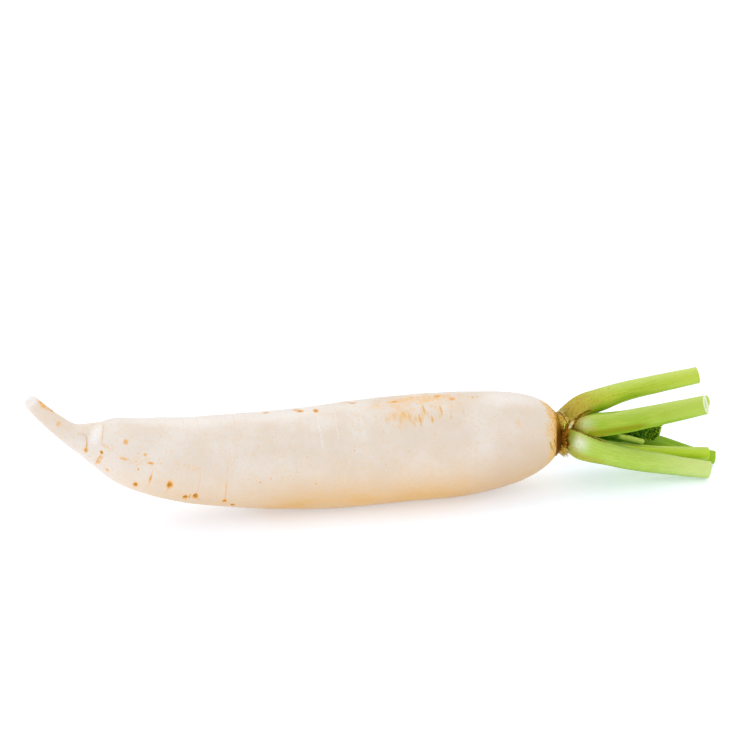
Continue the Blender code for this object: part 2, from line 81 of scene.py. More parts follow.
# A leaf stalk: the points of its path, the angle that its broad face looks to, how wide it is at base and
# end, how much its base bulges, spreads and thins, and its thickness as a share of its width. cut is the way
# its slanted end faces, and longer how far it goes on. Ochre reaches up to stained and shade up to shaded,
# swelling is the place and turn of a painted highlight on the swollen base, and rimmed how dark the
# base's edge is. A keel is a place, length, height and turn. Seams, glooms, ochres and bands are dark lines,
# shade, ochre and olive: turns at both ends, half width, first and last place, strength. tones are the skin
# in light and in shade and the far end, then how brown the base is and how strong the painted highlights on
# the upper side and on the swelling are.
NOWHERE = -99  # a place that no stalk has
PLAIN_STALK = dict(
    cut=None, longer=0, stained=19, swelling=(13, 90), rimmed=1, shaded=NOWHERE,
    keels=[], seams=[], glooms=[], ochres=[], bands=[],
)
STALKS = {
    "leaf_stalk_top": dict(
        path=[
            (102.8, 0.2, 41), (107.4, 1.2, 45.4), (113.4, 2.4, 48.6), (124, 4, 51), (143, 6, 54),
            (187.2, 10, 58.5),
        ],
        faces=114, base=13.6, end=10.6, bulge=0.8, sheath=6, thin=4.8, ratio=0.92,
        cut=(0.97, -0.05, 0.16), longer=1, stained=26, rimmed=0.3,
        keels=[(24, 12, 2.2, 4), (1, 6, -1.1, 140)],
        seams=[(58, 12, 7, 3, 16, 1.3)],
        glooms=[(14, 4, 24, 7, 26, 1), (10, 10, 20, 20, 52, 0.5)],
        tones=((0.52, 0.64, 0.05), (0.36, 0.52, 0.012), (0.54, 0.67, 0.075), 0.95, 0.34, 0),
    ),
    "leaf_stalk_front_low": dict(
        path=[
            (99.2, -7.6, 29.8), (107, -10.6, 27.6), (122, -12, 22.8), (141, -12.5, 16.7), (165, -12, 10.4),
            (189.6, -14.8, 5.9),
        ],
        faces=200, base=16.8, end=11.3, bulge=2.2, sheath=-1, thin=5.2, ratio=0.88,
        stained=10, swelling=(7.9, 126),
        seams=[(180, 182, 10, 0, 24, 1), (55, 55, 6, 4, 30, 0.62)],
        glooms=[(140, 140, 55, 0, 5.2, 0.6), (188, 190, 8, 20, 44, 0.6), (52, 52, 10, 20, 90, 0.4)],
        ochres=[(74, 74, 20, 0, 26, 0.8), (57, 57, 11, 20, 56, 0.5), (135, 135, 60, -2, 5.4, 1)],
        tones=((0.50, 0.66, 0.11), (0.38, 0.56, 0.05), (0.67, 0.77, 0.29), 0.7, 0.3, 0.85),
    ),
    "leaf_stalk_back_high": dict(
        path=[
            (99, 7.8, 36.4), (108, 8.8, 36.9), (124, 7, 34.9), (141, 6.4, 34.9), (170, 8.4, 36.5),
            (196.4, 11.6, 39.4),
        ],
        faces=20, base=12.6, end=9.2, bulge=1.6, sheath=3, thin=4.4, ratio=0.82,
        tones=((0.48, 0.64, 0.08), (0.34, 0.52, 0.03), (0.56, 0.70, 0.13), 0.5, 0.3, 0),
    ),
    "leaf_stalk_back_low": dict(
        path=[
            (99, 4.6, 26.9), (108, 7.8, 25), (124, 11.5, 24.4), (140, 12.1, 22.6), (166, 10.6, 14.8),
            (188, 7.8, 6.8), (200.8, 5.2, 4.4),
        ],
        faces=300, base=13.4, end=8.6, bulge=1.6, sheath=2, thin=4.8, ratio=0.86, shaded=44,
        tones=((0.20, 0.36, 0.003), (0.08, 0.20, 0.0), (0.38, 0.60, 0.008), 0.4, 0.05, 0),
    ),
    "leaf_stalk_front_middle": dict(
        path=[
            (106.6, -1.2, 36), (111.2, -5.8, 38), (118, -10, 39.9), (136.8, -15.8, 43.6), (178.6, -31, 56.6),
        ],
        faces=168, base=15.2, end=11.6, bulge=0.4, sheath=-6.5, thin=6.6, ratio=0.88,
        cut=(0.80, -0.50, 0.34), stained=12, swelling=(10, 116), rimmed=0.6,
        seams=[(100, 158, 15, 1.5, 5.5, 1.2), (168, 180, 12, 5, 15, 1), (38, 38, 12, 2, 22, 0.8)],
        glooms=[(177, 177, 16, 8, 30, 1), (40, 40, 16, 14, 70, 0.6)],
        ochres=[(82, 82, 20, 4, 18, 0.7)],
        bands=[(60, 60, 24, 12, 46, 1)],
        tones=((0.43, 0.57, 0.055), (0.29, 0.46, 0.012), (0.48, 0.62, 0.09), 0.8, 0.3, 0.4),
    ),
    "leaf_stalk_inner_low": dict(
        path=[
            (103, 0, 28.4), (112, 0.2, 25), (124, 0.4, 21.6), (142, 0.4, 17.1), (163, 0.2, 13.7),
            (192.8, -4.4, 12.2),
        ],
        faces=265, base=9.4, end=8.4, bulge=0.8, sheath=-2, thin=5.4, ratio=0.95, shaded=29,
        # lighter tones, a painted light that lifts the shade it lies in
        tones=((0.66, 0.82, 0.06), (0.50, 0.70, 0.015), (0.48, 0.66, 0.03), 0.4, 0.2, 0),
    ),
    "leaf_stalk_young": dict(
        path=[(103.6, -0.4, 33), (120, -0.4, 30.6), (138.8, 0, 26.1), (151.8, 0, 21.8)],
        faces=240, base=4, end=3.5, bulge=0.3, sheath=0, thin=2.8, ratio=0.95, shaded=33,
        swelling=(NOWHERE, 90),
        tones=((0.52, 0.66, 0.08), (0.36, 0.52, 0.02), (0.56, 0.70, 0.12), 0.2, 0.15, 0),
    ),
}
BASE_CROWDING = 1.25
BULGE_AT, BULGE_LENGTH = 10.0, 10.0
SHEATH_LENGTH = 8.0
CLASP_LENGTH, CLASP_RADIUS = 9.0, 11.0
CHANNEL_DEPTH, CHANNEL_WIDTH = 0.22, 0.45

BLADE_TOP = Vector((151.2, 4.6, 29.7))
BLADE_LENGTH, BLADE_DEPTH, BLADE_THICK = 28.0, 12.6, 0.7
BLADE_FIRST_DEPTH = 0.25
BLADE_LAST_DEPTH, BLADE_TAPER_FROM = 0.55, 0.62
BLADE_LEAN = -1.3
BLADE_CURL = 0.55

# ---- marks on the root's skin

# scars of side roots: distance from the tail, angle, half length round the root, half width, depth, darkness
SCARS = [
    (42, 187, 1.3, 0.8, 0.3, 0.62), (50, 174, 0.8, 0.57, 0.45, 1), (55, 209, 0.9, 0.8, 0.15, 0.45),
    (60.5, 144, 1.2, 0.9, 0.15, 0.5), (61.5, 173, 0.6, 1.7, 0.1, 0.42), (70.5, 183, 0.5, 0.5, 0.15, 0.62),
    (72, 158, 0.7, 0.7, 0.1, 0.5), (76, 169, 0.55, 1.5, 0.15, 0.58), (72, 215, 1.8, 1, 0.4, 0.85),
    (78, 193, 2, 0.5, 0.2, 0.6), (89, 197, 2.18, 1.32, 0.4, 0.85), (99, 217, 1.9, 1, 0.45, 0.95),
    (103.9, 211, 2.1, 1.15, 0.45, 0.95), (120.2, 217, 1.4, 1, 0.4, 0.8), (125.5, 228, 1.3, 1.2, 0.4, 0.8),
    (146, 84, 0.9, 1.5, 0.3, 0.6), (164, 82, 0.8, 1.3, 0.3, 0.62), (166.3, 88, 1.3, 1.6, 0.45, 0.66),
    (176, 92, 1.7, 1.3, 0.45, 0.7), (200, 84, 0.8, 1.7, 0.35, 0.62), (224, 94, 0.9, 1.7, 0.3, 0.55),
    (250, 90, 1, 1.8, 0.3, 0.55), (258, 99, 1.5, 1.5, 0.25, 0.5), (271, 97, 1.2, 0.8, 0.15, 0.4),
    (5.8, 96, 0.7, 0.7, 0.2, 0.55), (8.5, 104, 0.9, 1.4, 0.1, 0.45), (14, 90, 0.7, 1, 0.15, 0.62),
    (21.5, 143, 1.3, 0.7, 0.1, 0.35), (295, 139, 1.4, 1.2, 0.1, 0.14), (145, 179, 0.35, 0.35, 0.05, 0.6),
    (139, 184, 0.4, 0.4, 0.05, 0.6), (166, 155, 0.35, 0.35, 0.05, 0.55), (160, 172, 0.3, 0.3, 0.05, 0.5),
    (194, 152, 0.35, 0.35, 0.05, 0.6), (212, 170, 0.3, 0.3, 0.05, 0.6), (171, 187, 0.4, 0.4, 0.05, 0.55),
    (226, 159, 0.3, 0.3, 0.05, 0.5),
    # the hidden side carries the rest of both rows
    (66, 12, 1.4, 1.5, 0.4, 0.7), (84, 338, 1.84, 1.49, 0.4, 0.8), (112, 24, 1.9, 1.6, 0.45, 0.7),
    (137, 348, 1.3, 1.8, 0.4, 0.6), (158, 16, 2.53, 1.95, 0.45, 0.8), (187, 332, 1.5, 1.5, 0.35, 0.5),
    (208, 28, 1.8, 2, 0.4, 0.6), (232, 350, 1.2, 1.8, 0.35, 0.5), (268, 18, 1.6, 1.5, 0.3, 0.4),
    (150, 262, 1.3, 1.6, 0.3, 0.5), (212, 276, 1.2, 1.5, 0.3, 0.4),
]
# shallow creases: distance from the tail, middle angle, half span in degrees, depth, half width, stain (below
# 0 a painted highlight instead), slant
CREASES = [
    (48.4, 128, 36, 0.2, 0.45, 0.6, 1.2), (49.4, 196, 24, 0.1, 0.5, 0.85, -0.9),
    (50.6, 194, 18, 0.05, 0.4, 0.7, -1.3), (41.5, 176, 16, 0.1, 0.4, 0.8, 0.4),
    (78, 196, 22, 0.1, 0.4, 0.5, 0), (88.7, 208, 16, 0.1, 0.4, 0.6, -0.6),
    (88.8, 168, 20, 0.08, 0.4, 0.1, 0), (104.5, 190, 24, 0.1, 0.4, 0.3, 0),
    (120, 200, 22, 0.2, 0.45, 0.7, 0), (120, 168, 22, 0.12, 0.45, 0.2, 0), (93, 92, 26, 0.12, 0.4, 0.2, 0),
    (103, 92, 26, 0.1, 0.4, 0.24, 0), (126, 92, 24, 0.1, 0.4, 0.24, 0), (133.5, 92, 20, 0.08, 0.4, 0.16, 0),
    (147.6, 124, 22, 0.1, 0.45, -0.14, 0), (166.6, 114, 26, 0.12, 0.4, -0.1, 0),
    (175.6, 124, 26, 0.3, 0.5, -0.42, 0), (186.2, 114, 38, 0.2, 0.5, -0.25, -1),
    (187.2, 116, 36, 0.05, 0.4, 0.16, -1), (201, 118, 30, 0.1, 0.5, -0.12, 0),
    (236, 150, 34, 0.08, 0.6, 0.04, 0), (262, 108, 40, 0.1, 0.6, 0.06, 0),
    (292, 150, 50, 0.08, 0.8, 0.03, 0), (64, 20, 40, 0.25, 0.6, 0.4, 0), (84, 350, 50, 0.25, 0.6, 0.4, 0),
    (112, 20, 52, 0.3, 0.6, 0.3, 0), (137, 342, 44, 0.25, 0.6, 0.3, 0), (158, 24, 56, 0.3, 0.7, 0.25, 0),
    (187, 330, 40, 0.3, 0.7, 0.3, 0), (208, 30, 44, 0.25, 0.7, 0.2, 0), (240, 300, 60, 0.2, 0.7, 0.2, 0),
]
# stained patches: distance from the tail, angle, half length along the root, half span in degrees, strength
PATCHES = [
    (8.5, 98, 6.5, 36, 0.66), (22, 146, 4, 26, 0.5), (48.5, 200, 5, 20, 0.5), (40, 196, 4, 20, 0.42),
    (53, 158, 6, 10, 0.42), (42.5, 118, 2.5, 40, 0.24), (72, 168, 14, 16, 0.34), (60, 206, 12, 14, 0.3),
    (92, 166, 18, 9, 0.36), (92, 208, 26, 12, 0.26), (224, 120, 12, 20, 0.56), (222, 100, 14, 14, 0.5),
    (238, 93, 34, 15, 0.74), (252, 108, 18, 14, 0.5), (232, 116, 12, 14, 0.5), (262, 215, 26, 26, 0.26),
    (196, 225, 46, 22, 0.34), (140, 230, 40, 18, 0.3), (170, 300, 60, 40, 0.3), (110, 340, 30, 30, 0.25),
    (250, 20, 30, 30, 0.3), (236, 70, 26, 20, 0.5),
]
# paler bands, given the same way: mostly a painted highlight along the top and painted light on the left
# side, with a few paler bands of the skin
PALE_AND_HIGHLIGHT_PATCHES = [
    (44.5, 130, 4.2, 46, 0.7), (56, 160, 58, 120, 0.14), (1, 140, 4.5, 140, 0.55), (92, 90, 50, 24, 0.5),
    (150, 88, 60, 22, 0.45), (294, 97, 20, 22, 0.45), (178, 112, 12, 18, 0.3),
]
# short stained streaks across the grain: distance from the tail, angle, half length round the root, strength
STREAKS = [
    (239, 113, 4.6, 0.95), (235.5, 126, 4, 0.95), (233, 124, 2.4, 0.5), (242.5, 127, 2.6, 0.9),
    (249, 116, 3.6, 0.85), (247, 124, 2, 0.4), (229.5, 121, 3.4, 0.6), (226.5, 117, 2.6, 0.55),
    (224, 124, 3, 0.5), (221, 119, 3, 0.4), (231.5, 130, 2.4, 0.6), (254, 126, 1.4, 0.55),
    (254.5, 119, 1.4, 0.35), (216, 122, 2.6, 0.35), (262, 120, 2.6, 0.25), (274, 96, 1.8, 0.6),
    (268, 95, 1.2, 0.5),
]


class Spline:
    """A smooth curve through stations of any number of values, the first three of them x, y and z."""

    def __init__(self, stations):
        self.values = [tuple(map(float, s)) for s in stations]
        self.knots = [0.0]
        for a, b in zip(self.values, self.values[1:]):
            self.knots.append(self.knots[-1] + (Vector(b[:3]) - Vector(a[:3])).length)
        last = len(self.values) - 1
        self.slopes = []
        for i in range(last + 1):
            low, high = max(i - 1, 0), min(i + 1, last)
            span = self.knots[high] - self.knots[low]
            self.slopes.append([(q - p) / span for p, q in zip(self.values[low], self.values[high])])
        self.length = self.knots[-1]

    def at(self, distance):
        distance = min(max(distance, 0.0), self.length)
        i = 0
        while i < len(self.knots) - 2 and distance > self.knots[i + 1]:
            i += 1
        step = self.knots[i + 1] - self.knots[i]
        t = (distance - self.knots[i]) / step
        h00, h10 = (1 + 2 * t) * (1 - t) ** 2, t * (1 - t) ** 2 * step
        h01, h11 = t * t * (3 - 2 * t), t * t * (t - 1) * step
        ends = zip(self.values[i], self.slopes[i], self.values[i + 1], self.slopes[i + 1])
        return [h00 * a + h10 * m + h01 * b + h11 * n for a, m, b, n in ends]

    def direction(self, distance):
        before = Vector(self.at(distance - 0.5)[:3])
        after = Vector(self.at(distance + 0.5)[:3])
        return (after - before).normalized()


def smooth(x):
    x = np.clip(x, 0.0, 1.0)
    return x * x * (3 - 2 * x)


def ease(x):
    """smooth() for one number."""
    x = min(max(x, 0.0), 1.0)
    return x * x * (3 - 2 * x)


def bell(off, half, power=2):
    """1 where off is 0, falling away at about that half width. off is a number or an array."""
    value = -((off / half) ** power)
    return np.exp(value) if isinstance(value, np.ndarray) else exp(value)


def turn_gap(turn, degrees):
    """Signed difference in radians between turns and an angle in degrees."""
    return (turn - radians(degrees) + pi) % (2 * pi) - pi


def wobble(points, size, seed):
    """Smooth noise of about -1 to 1 at each point, with lumps of that size in millimetres."""
    far = Vector((seed * 17.3, seed * 5.1, seed * 9.7))
    flat = points.reshape(-1, 3) / size
    values = [noise.noise(Vector(p) + far) for p in flat.tolist()]
    return np.array(values).reshape(points.shape[:-1])


# ---- making pieces


def tube_faces(rows, columns, first_cap=True, last_cap=True):
    """Quads of a closed tube of rows rings, and a face over each end."""
    faces = []
    for r in range(rows - 1):
        for c in range(columns):
            d = (c + 1) % columns
            faces.append((r * columns + c, r * columns + d, (r + 1) * columns + d, (r + 1) * columns + c))
    if first_cap:
        faces.append(tuple(range(columns - 1, -1, -1)))
    if last_cap:
        faces.append(tuple((rows - 1) * columns + c for c in range(columns)))
    return faces


SHARP_FROM = 60  # edges turned by more degrees than this stay sharp


def make_piece(name, points, faces, look, replaces, values=None):
    """A smooth-shaded piece on the root body. values are what its material is told of each point."""
    mesh = bpy.data.meshes.new(name)
    placed = (np.asarray(points).reshape(-1, 3) + PLANT_AT) * MM
    mesh.from_pydata(placed.tolist(), [], faces)
    for key, data in (values or {}).items():
        data = np.asarray(data, np.float32)
        vector = data.size == 3 * len(placed)
        layer = mesh.attributes.new(key, "FLOAT_VECTOR" if vector else "FLOAT", "POINT")
        layer.data.foreach_set("vector" if vector else "value", data.ravel())
    mesh.validate()
    turned = bmesh.new()
    turned.from_mesh(mesh)
    bmesh.ops.recalc_face_normals(turned, faces=turned.faces)
    turned.to_mesh(mesh)
    turned.free()
    mesh.materials.append(look)
    mesh.shade_smooth()
    mesh.set_sharp_from_angle(angle=radians(SHARP_FROM))
    piece = bpy.data.objects.new(name, mesh)
    bpy.context.scene.collection.objects.link(piece)
    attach(piece, "root")
    if replaces:
        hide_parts(replaces)


def plate_faces(rows, columns, way=1):
    """Faces of a closed plate of two sheets of points. way is the way round of its border."""
    wide = columns + 1
    under = (rows + 1) * wide
    faces = []
    for r in range(rows):
        for c in range(columns):
            a = r * wide + c
            b = a + wide
            faces.append((a, a + 1, b + 1, b))
            faces.append((under + a, under + b, under + b + 1, under + a + 1))
    border = [(r, 0) for r in range(rows)] + [(rows, c) for c in range(columns)]
    border += [(r, columns) for r in range(rows, 0, -1)] + [(0, c) for c in range(columns, 0, -1)]
    ring = [r * wide + c for r, c in border[::way]]
    for a, b in zip(ring, ring[1:] + ring[:1]):
        faces.append((a, b, under + b, under + a))
    return faces


class Shape:
    """Points and faces gathered from several closed parts, with one tone number for each point."""

    def __init__(self):
        self.points, self.faces, self.tones = [], [], []

    def add(self, points, faces, tones):
        start = len(self.points)
        self.points.extend([tuple(p) for p in points])
        self.faces.extend([tuple(start + i for i in face) for face in faces])
        self.tones.extend(tones)

    def parts(self):
        return self.points, self.faces, {"tone": self.tones}


def rod(shape, path, size_at, tone, sides, rings, flat=1.0):
    """A closed rod along points. size_at gives its radius at a share of its length, flat narrows one way."""
    curve = Spline(path)
    points = []
    for i in range(rings):
        share = i / (rings - 1)
        along = curve.length * share
        middle, ahead = Vector(curve.at(along)[:3]), curve.direction(along)
        side = ahead.orthogonal().normalized()
        other = ahead.cross(side)
        size = size_at(share)
        for k in range(sides):
            turn = 2 * pi * k / sides
            points.append(middle + size * (cos(turn) * side + flat * sin(turn) * other))
    shape.add(points, tube_faces(rings, sides), [tone] * len(points))


def hair(shape, path, radius, tone, sides=6, rings=12, end=0.25):
    """A thin tapering fibre along points."""
    rod(shape, path, lambda share: radius * (1 - (1 - end) * share), tone, sides, rings)


# ---- materials


class Look:
    """A node material, with short calls for the nodes that it uses."""

    def __init__(self, name, roughness, **settings):
        self.material = bpy.data.materials.new(name)
        self.material.use_nodes = True
        self.tree = self.material.node_tree
        self.shader = self.tree.nodes["Principled BSDF"]
        self.shader.inputs["Roughness"].default_value = roughness
        for key, value in settings.items():
            self.shader.inputs[key.replace("_", " ")].default_value = value
        self.where = self.node("ShaderNodeTexCoord").outputs["Object"]
        self.colour = None

    def node(self, kind, inputs=None, **settings):
        made = self.tree.nodes.new(kind)
        for key, value in settings.items():
            setattr(made, key, value)
        for key, value in (inputs or {}).items():
            if isinstance(value, bpy.types.NodeSocket):
                self.tree.links.new(value, made.inputs[key])
            else:
                made.inputs[key].default_value = value
        return made

    def value(self, name):
        return self.node("ShaderNodeAttribute", attribute_name=name).outputs["Fac"]

    def vector(self, name):
        return self.node("ShaderNodeAttribute", attribute_name=name).outputs["Vector"]

    def parts(self, name):
        return self.node("ShaderNodeSeparateXYZ", {0: self.vector(name)}).outputs

    def scaled(self, where, x, y, z):
        return self.node("ShaderNodeMapping", {"Vector": where, "Scale": (x, y, z)}).outputs["Vector"]

    def noise(self, where, scale, detail=3.0, rough=0.5):
        inputs = {"Vector": where, "Scale": scale, "Detail": detail, "Roughness": rough}
        return self.node("ShaderNodeTexNoise", inputs).outputs["Fac"]

    def ramp(self, value, low, high, to_low=0.0, to_high=1.0):
        """Value from low to high becomes to_low to to_high, smoothly, and stays there beyond."""
        inputs = {"Value": value, "From Min": low, "From Max": high, "To Min": to_low, "To Max": to_high}
        return self.node("ShaderNodeMapRange", inputs, interpolation_type="SMOOTHSTEP").outputs["Result"]

    def math(self, operation, a, b=0.0):
        return self.node("ShaderNodeMath", {0: a, 1: b}, operation=operation).outputs["Value"]

    def times(self, a, b):
        return self.math("MULTIPLY", a, b)

    def plus(self, a, b):
        return self.math("ADD", a, b)

    def most(self, a, b):
        return self.math("MAXIMUM", a, b)

    def frayed(self, value, noise, to_low, to_high, low=0.3):
        """Value plus the middle range of a noise, spread from to_low to to_high."""
        return self.plus(value, self.ramp(noise, low, 1 - low, to_low, to_high))

    def distance(self, x, y):
        flat = self.node("ShaderNodeCombineXYZ", {0: x, 1: y}).outputs[0]
        return self.node("ShaderNodeVectorMath", {0: flat}, operation="LENGTH").outputs["Value"]

    def mix(self, share, a, b):
        """Colour a to colour b by share. A colour is a socket or three linear numbers."""
        inputs = {0: share}
        for index, colour in ((6, a), (7, b)):
            inputs[index] = colour if isinstance(colour, bpy.types.NodeSocket) else (*colour, 1.0)
        return self.node("ShaderNodeMix", inputs, data_type="RGBA").outputs[2]

    def paint(self, share, colour):
        """Lay a colour over what is there by share."""
        self.colour = self.mix(share, self.colour, colour)

    def layer(self, value, low, high, most, colour):
        """Lay a colour over what is there where value passes from low to high, by most at the highest."""
        self.paint(self.ramp(value, low, high, 0.0, most), colour)

    def finish(self, roughness=None, height=None, bump=1.0, distance=0.0003):
        self.tree.links.new(self.colour, self.shader.inputs["Base Color"])
        if roughness is not None:
            self.tree.links.new(roughness, self.shader.inputs["Roughness"])
        if height is not None:
            inputs = {"Height": height, "Strength": bump, "Distance": distance}
            normal = self.node("ShaderNodeBump", inputs).outputs["Normal"]
            self.tree.links.new(normal, self.shader.inputs["Normal"])
        return self.material


# linear colours of the root
CREAM = (0.745, 0.638, 0.54)
PALE = (0.795, 0.722, 0.655)
GLINT = (0.93, 0.92, 0.92)
BEIGE = (0.76, 0.61, 0.43)
PEACH = (0.72, 0.40, 0.08)
# painted shade on the lower side of the shoulder
SHADE_TAN = (0.47, 0.32, 0.19)
OCHRE = (0.76, 0.44, 0.11)
TAN = (0.87, 0.52, 0.19)
RIM_TAN = (0.80, 0.51, 0.19)
ORANGE = (0.86, 0.39, 0.06)
RUST = (0.52, 0.24, 0.03)
SCAR_BROWN = (0.13, 0.045, 0.002)
NECK_TAN = (0.50, 0.26, 0.02)
NECK_DARK = (0.10, 0.03, 0.0)
# the stalks, their bases and their cut ends
THREAD = (0.63, 0.75, 0.20)
LIT = (0.72, 0.82, 0.30)
UNDERSIDE_SHADE = (0.24, 0.44, 0.004)
DEEP_SHADE = (0.045, 0.17, 0.0)
FLECK = (0.42, 0.28, 0.02)
BASE_OCHRE = (0.50, 0.38, 0.045)
BASE_STRAW = (0.68, 0.62, 0.28)
SWELLING_HIGHLIGHT = (0.80, 0.86, 0.62)
OLIVE = (0.27, 0.27, 0.008)
SHADE_GREEN = (0.18, 0.37, 0.001)
BASE_RUST = (0.40, 0.18, 0.02)
SEAM_TAN = (0.46, 0.30, 0.04)
SEAM_BROWN = (0.17, 0.07, 0.003)
PITH_WET = (0.50, 0.66, 0.20)
PITH_PALE = (0.78, 0.84, 0.55)
PITH_RING = (0.86, 0.88, 0.74)
# the dry leaf bases, from their folds to their tips
FOLD = (0.06, 0.02, 0.001)
DRY_BROWN = (0.22, 0.075, 0.004)
DRY_TAN = (0.44, 0.24, 0.015)
DRY_STRAW = (0.68, 0.50, 0.10)
DRY_TIP = (0.80, 0.66, 0.34)
# the buds
BUD_SHADE = (0.40, 0.50, 0.03)
BUD_LIME = (0.62, 0.70, 0.12)
BUD_OLIVE = (0.34, 0.24, 0.03)
BUD_PALE = (0.62, 0.56, 0.24)
# the leaf
LEAF_DARK = (0.005, 0.03, 0.0)
LEAF_GREEN = (0.03, 0.115, 0.0)
LEAF_NET = (0.09, 0.24, 0.001)
LEAF_VEIN = (0.34, 0.48, 0.01)
LEAF_SPARK = (0.50, 0.55, 0.01)
LEAF_RIM = (0.36, 0.55, 0.03)
# the rootlets
ROOTLET_BROWN = (0.66, 0.34, 0.08)
ROOTLET_TAN = (0.82, 0.52, 0.20)


def root_look():
    """Moist white skin with tan stains, dark scars, faint lines and a speckled shoulder, with a painted
    highlight along its top, painted shade under its shoulder and a warm belly that is partly painted
    reflected light.
    """
    look = Look(
        "root_skin",
        0.38,
        Subsurface_Weight=0.15,
        Subsurface_Radius=(1.0, 0.8, 0.6),
        Subsurface_Scale=0.002,
        Specular_IOR_Level=0.4,
    )
    where = look.where
    cloud = look.noise(where, 34.0, 4.0, 0.55)
    grain = look.noise(where, 800.0, 4.0, 0.65)
    rings = look.noise(look.scaled(where, 1.0, 0.2, 0.2), 420.0, 3.0, 0.6)
    fine = look.noise(where, 1700.0, 2.0)
    patchy = look.noise(where, 190.0, 4.0, 0.65)
    look.colour = look.mix(look.ramp(cloud, 0.36, 0.68), CREAM, PALE)
    mottled = look.times(look.ramp(patchy, 0.35, 0.7), look.ramp(grain, 0.35, 0.65, 0.2, 1.0))
    look.paint(look.times(mottled, 0.5), BEIGE)
    look.paint(look.times(look.ramp(rings, 0.55, 0.75), 0.25), PALE)
    # the warm belly: partly the root's own tan, partly painted warm reflected light
    warm = look.times(look.value("warm"), look.ramp(cloud, 0.28, 0.7, 0.7, 1.0))
    warm = look.times(warm, look.ramp(grain, 0.3, 0.7, 0.82, 1.0))
    look.paint(warm, PEACH)
    # painted shade on the lower side of the shoulder
    look.paint(look.value("shoulder_shade"), SHADE_TAN)
    # painted highlight along the top and painted light on the left side, with a few paler bands of the skin
    look.paint(look.value("pale"), GLINT)
    # stained patches break up into grains
    stain = look.frayed(look.value("stain"), patchy, -0.3, 0.1)
    stain = look.frayed(stain, grain, -0.22, 0.22, 0.32)
    look.layer(stain, 0.1, 1.0, 0.9, TAN)
    # dashes across the grain, each with its own place
    dash = look.parts("dash")
    far = look.frayed(look.distance(dash[0], dash[1]), grain, -0.45, 0.45, 0.25)
    look.paint(look.times(look.ramp(far, 0.35, 1.35, 1.0, 0.0), dash[2]), OCHRE)
    # creases: tan where they are stained, pale where they catch the light
    line = look.parts("line")
    off = look.frayed(look.math("ABSOLUTE", line[0]), grain, -0.4, 0.5, 0.25)
    on_line = look.ramp(off, 0.2, 1.1, 1.0, 0.0)
    stained = look.times(on_line, look.most(line[2], 0.0))
    bright = look.times(on_line, look.most(look.times(line[2], -1.0), 0.0))
    look.paint(stained, ORANGE)
    look.paint(bright, GLINT)
    # scattered pinpricks
    cells = look.node("ShaderNodeTexVoronoi", {"Vector": where, "Scale": 75.0, "Randomness": 1.0})
    dots = look.ramp(cells.outputs["Distance"], 0.015, 0.035, 1.0, 0.0)
    few = look.ramp(look.noise(where, 60.0, 0.0), 0.53, 0.57)
    look.paint(look.times(dots, look.times(few, 0.8)), ORANGE)
    # the shoulder's speckled rim
    rim = look.value("rim")
    speckle = look.frayed(rim, grain, -0.5, 0.4, 0.32)
    look.layer(speckle, 0.1, 0.8, 0.9, RIM_TAN)
    look.layer(speckle, 0.85, 1.2, 0.85, ORANGE)
    look.layer(speckle, 1.1, 1.4, 0.7, RUST)
    # scars: an orange halo round a ragged dark ring with a paler middle
    spot = look.parts("spot")
    near = look.frayed(look.distance(spot[0], spot[1]), fine, -0.3, 0.3, 0.25)
    near = look.frayed(near, grain, -0.3, 0.3, 0.25)
    dark = spot[2]
    look.paint(look.times(look.ramp(near, 0.9, 2.1, 0.9, 0.0), dark), TAN)
    look.paint(look.times(look.ramp(near, 0.95, 1.5, 1.0, 0.0), dark), ORANGE)
    shine = look.times(look.ramp(near, 0.9, 1.4, 1.0, 0.0), dark)
    shine = look.most(shine, look.times(rim, 0.6))
    shine = look.most(shine, look.value("neck"))
    look.tree.links.new(look.ramp(shine, 0.0, 0.6, 0.4, 0.05), look.shader.inputs["Specular IOR Level"])
    edge = look.times(look.ramp(near, 0.4, 0.65), look.ramp(near, 0.8, 1.0, 1.0, 0.0))
    edge = look.times(edge, look.ramp(dark, 0.55, 0.95, 0.0, 0.9))
    edge = look.times(edge, look.ramp(look.noise(where, 1100.0, 1.0), 0.42, 0.56, 0.1, 1.0))
    inner = look.times(look.ramp(near, 0.5, 1.0, 0.7, 0.0), look.ramp(dark, 0.35, 0.8))
    look.paint(inner, RUST)
    look.paint(edge, SCAR_BROWN)
    flesh = look.mix(look.value("hollow"), NECK_TAN, NECK_DARK)
    look.paint(look.value("neck"), flesh)
    rough = look.ramp(look.plus(stain, rim), 0.0, 1.2, 0.36, 0.6)
    height = look.plus(look.times(grain, 0.6), look.times(fine, 0.35))
    height = look.plus(height, look.times(rings, 0.9))
    pit = look.times(look.ramp(near, 0.5, 1.1, -1.6, 0.0), dark)
    height = look.plus(height, pit)
    return look.finish(rough, height, 0.25, 0.0004)


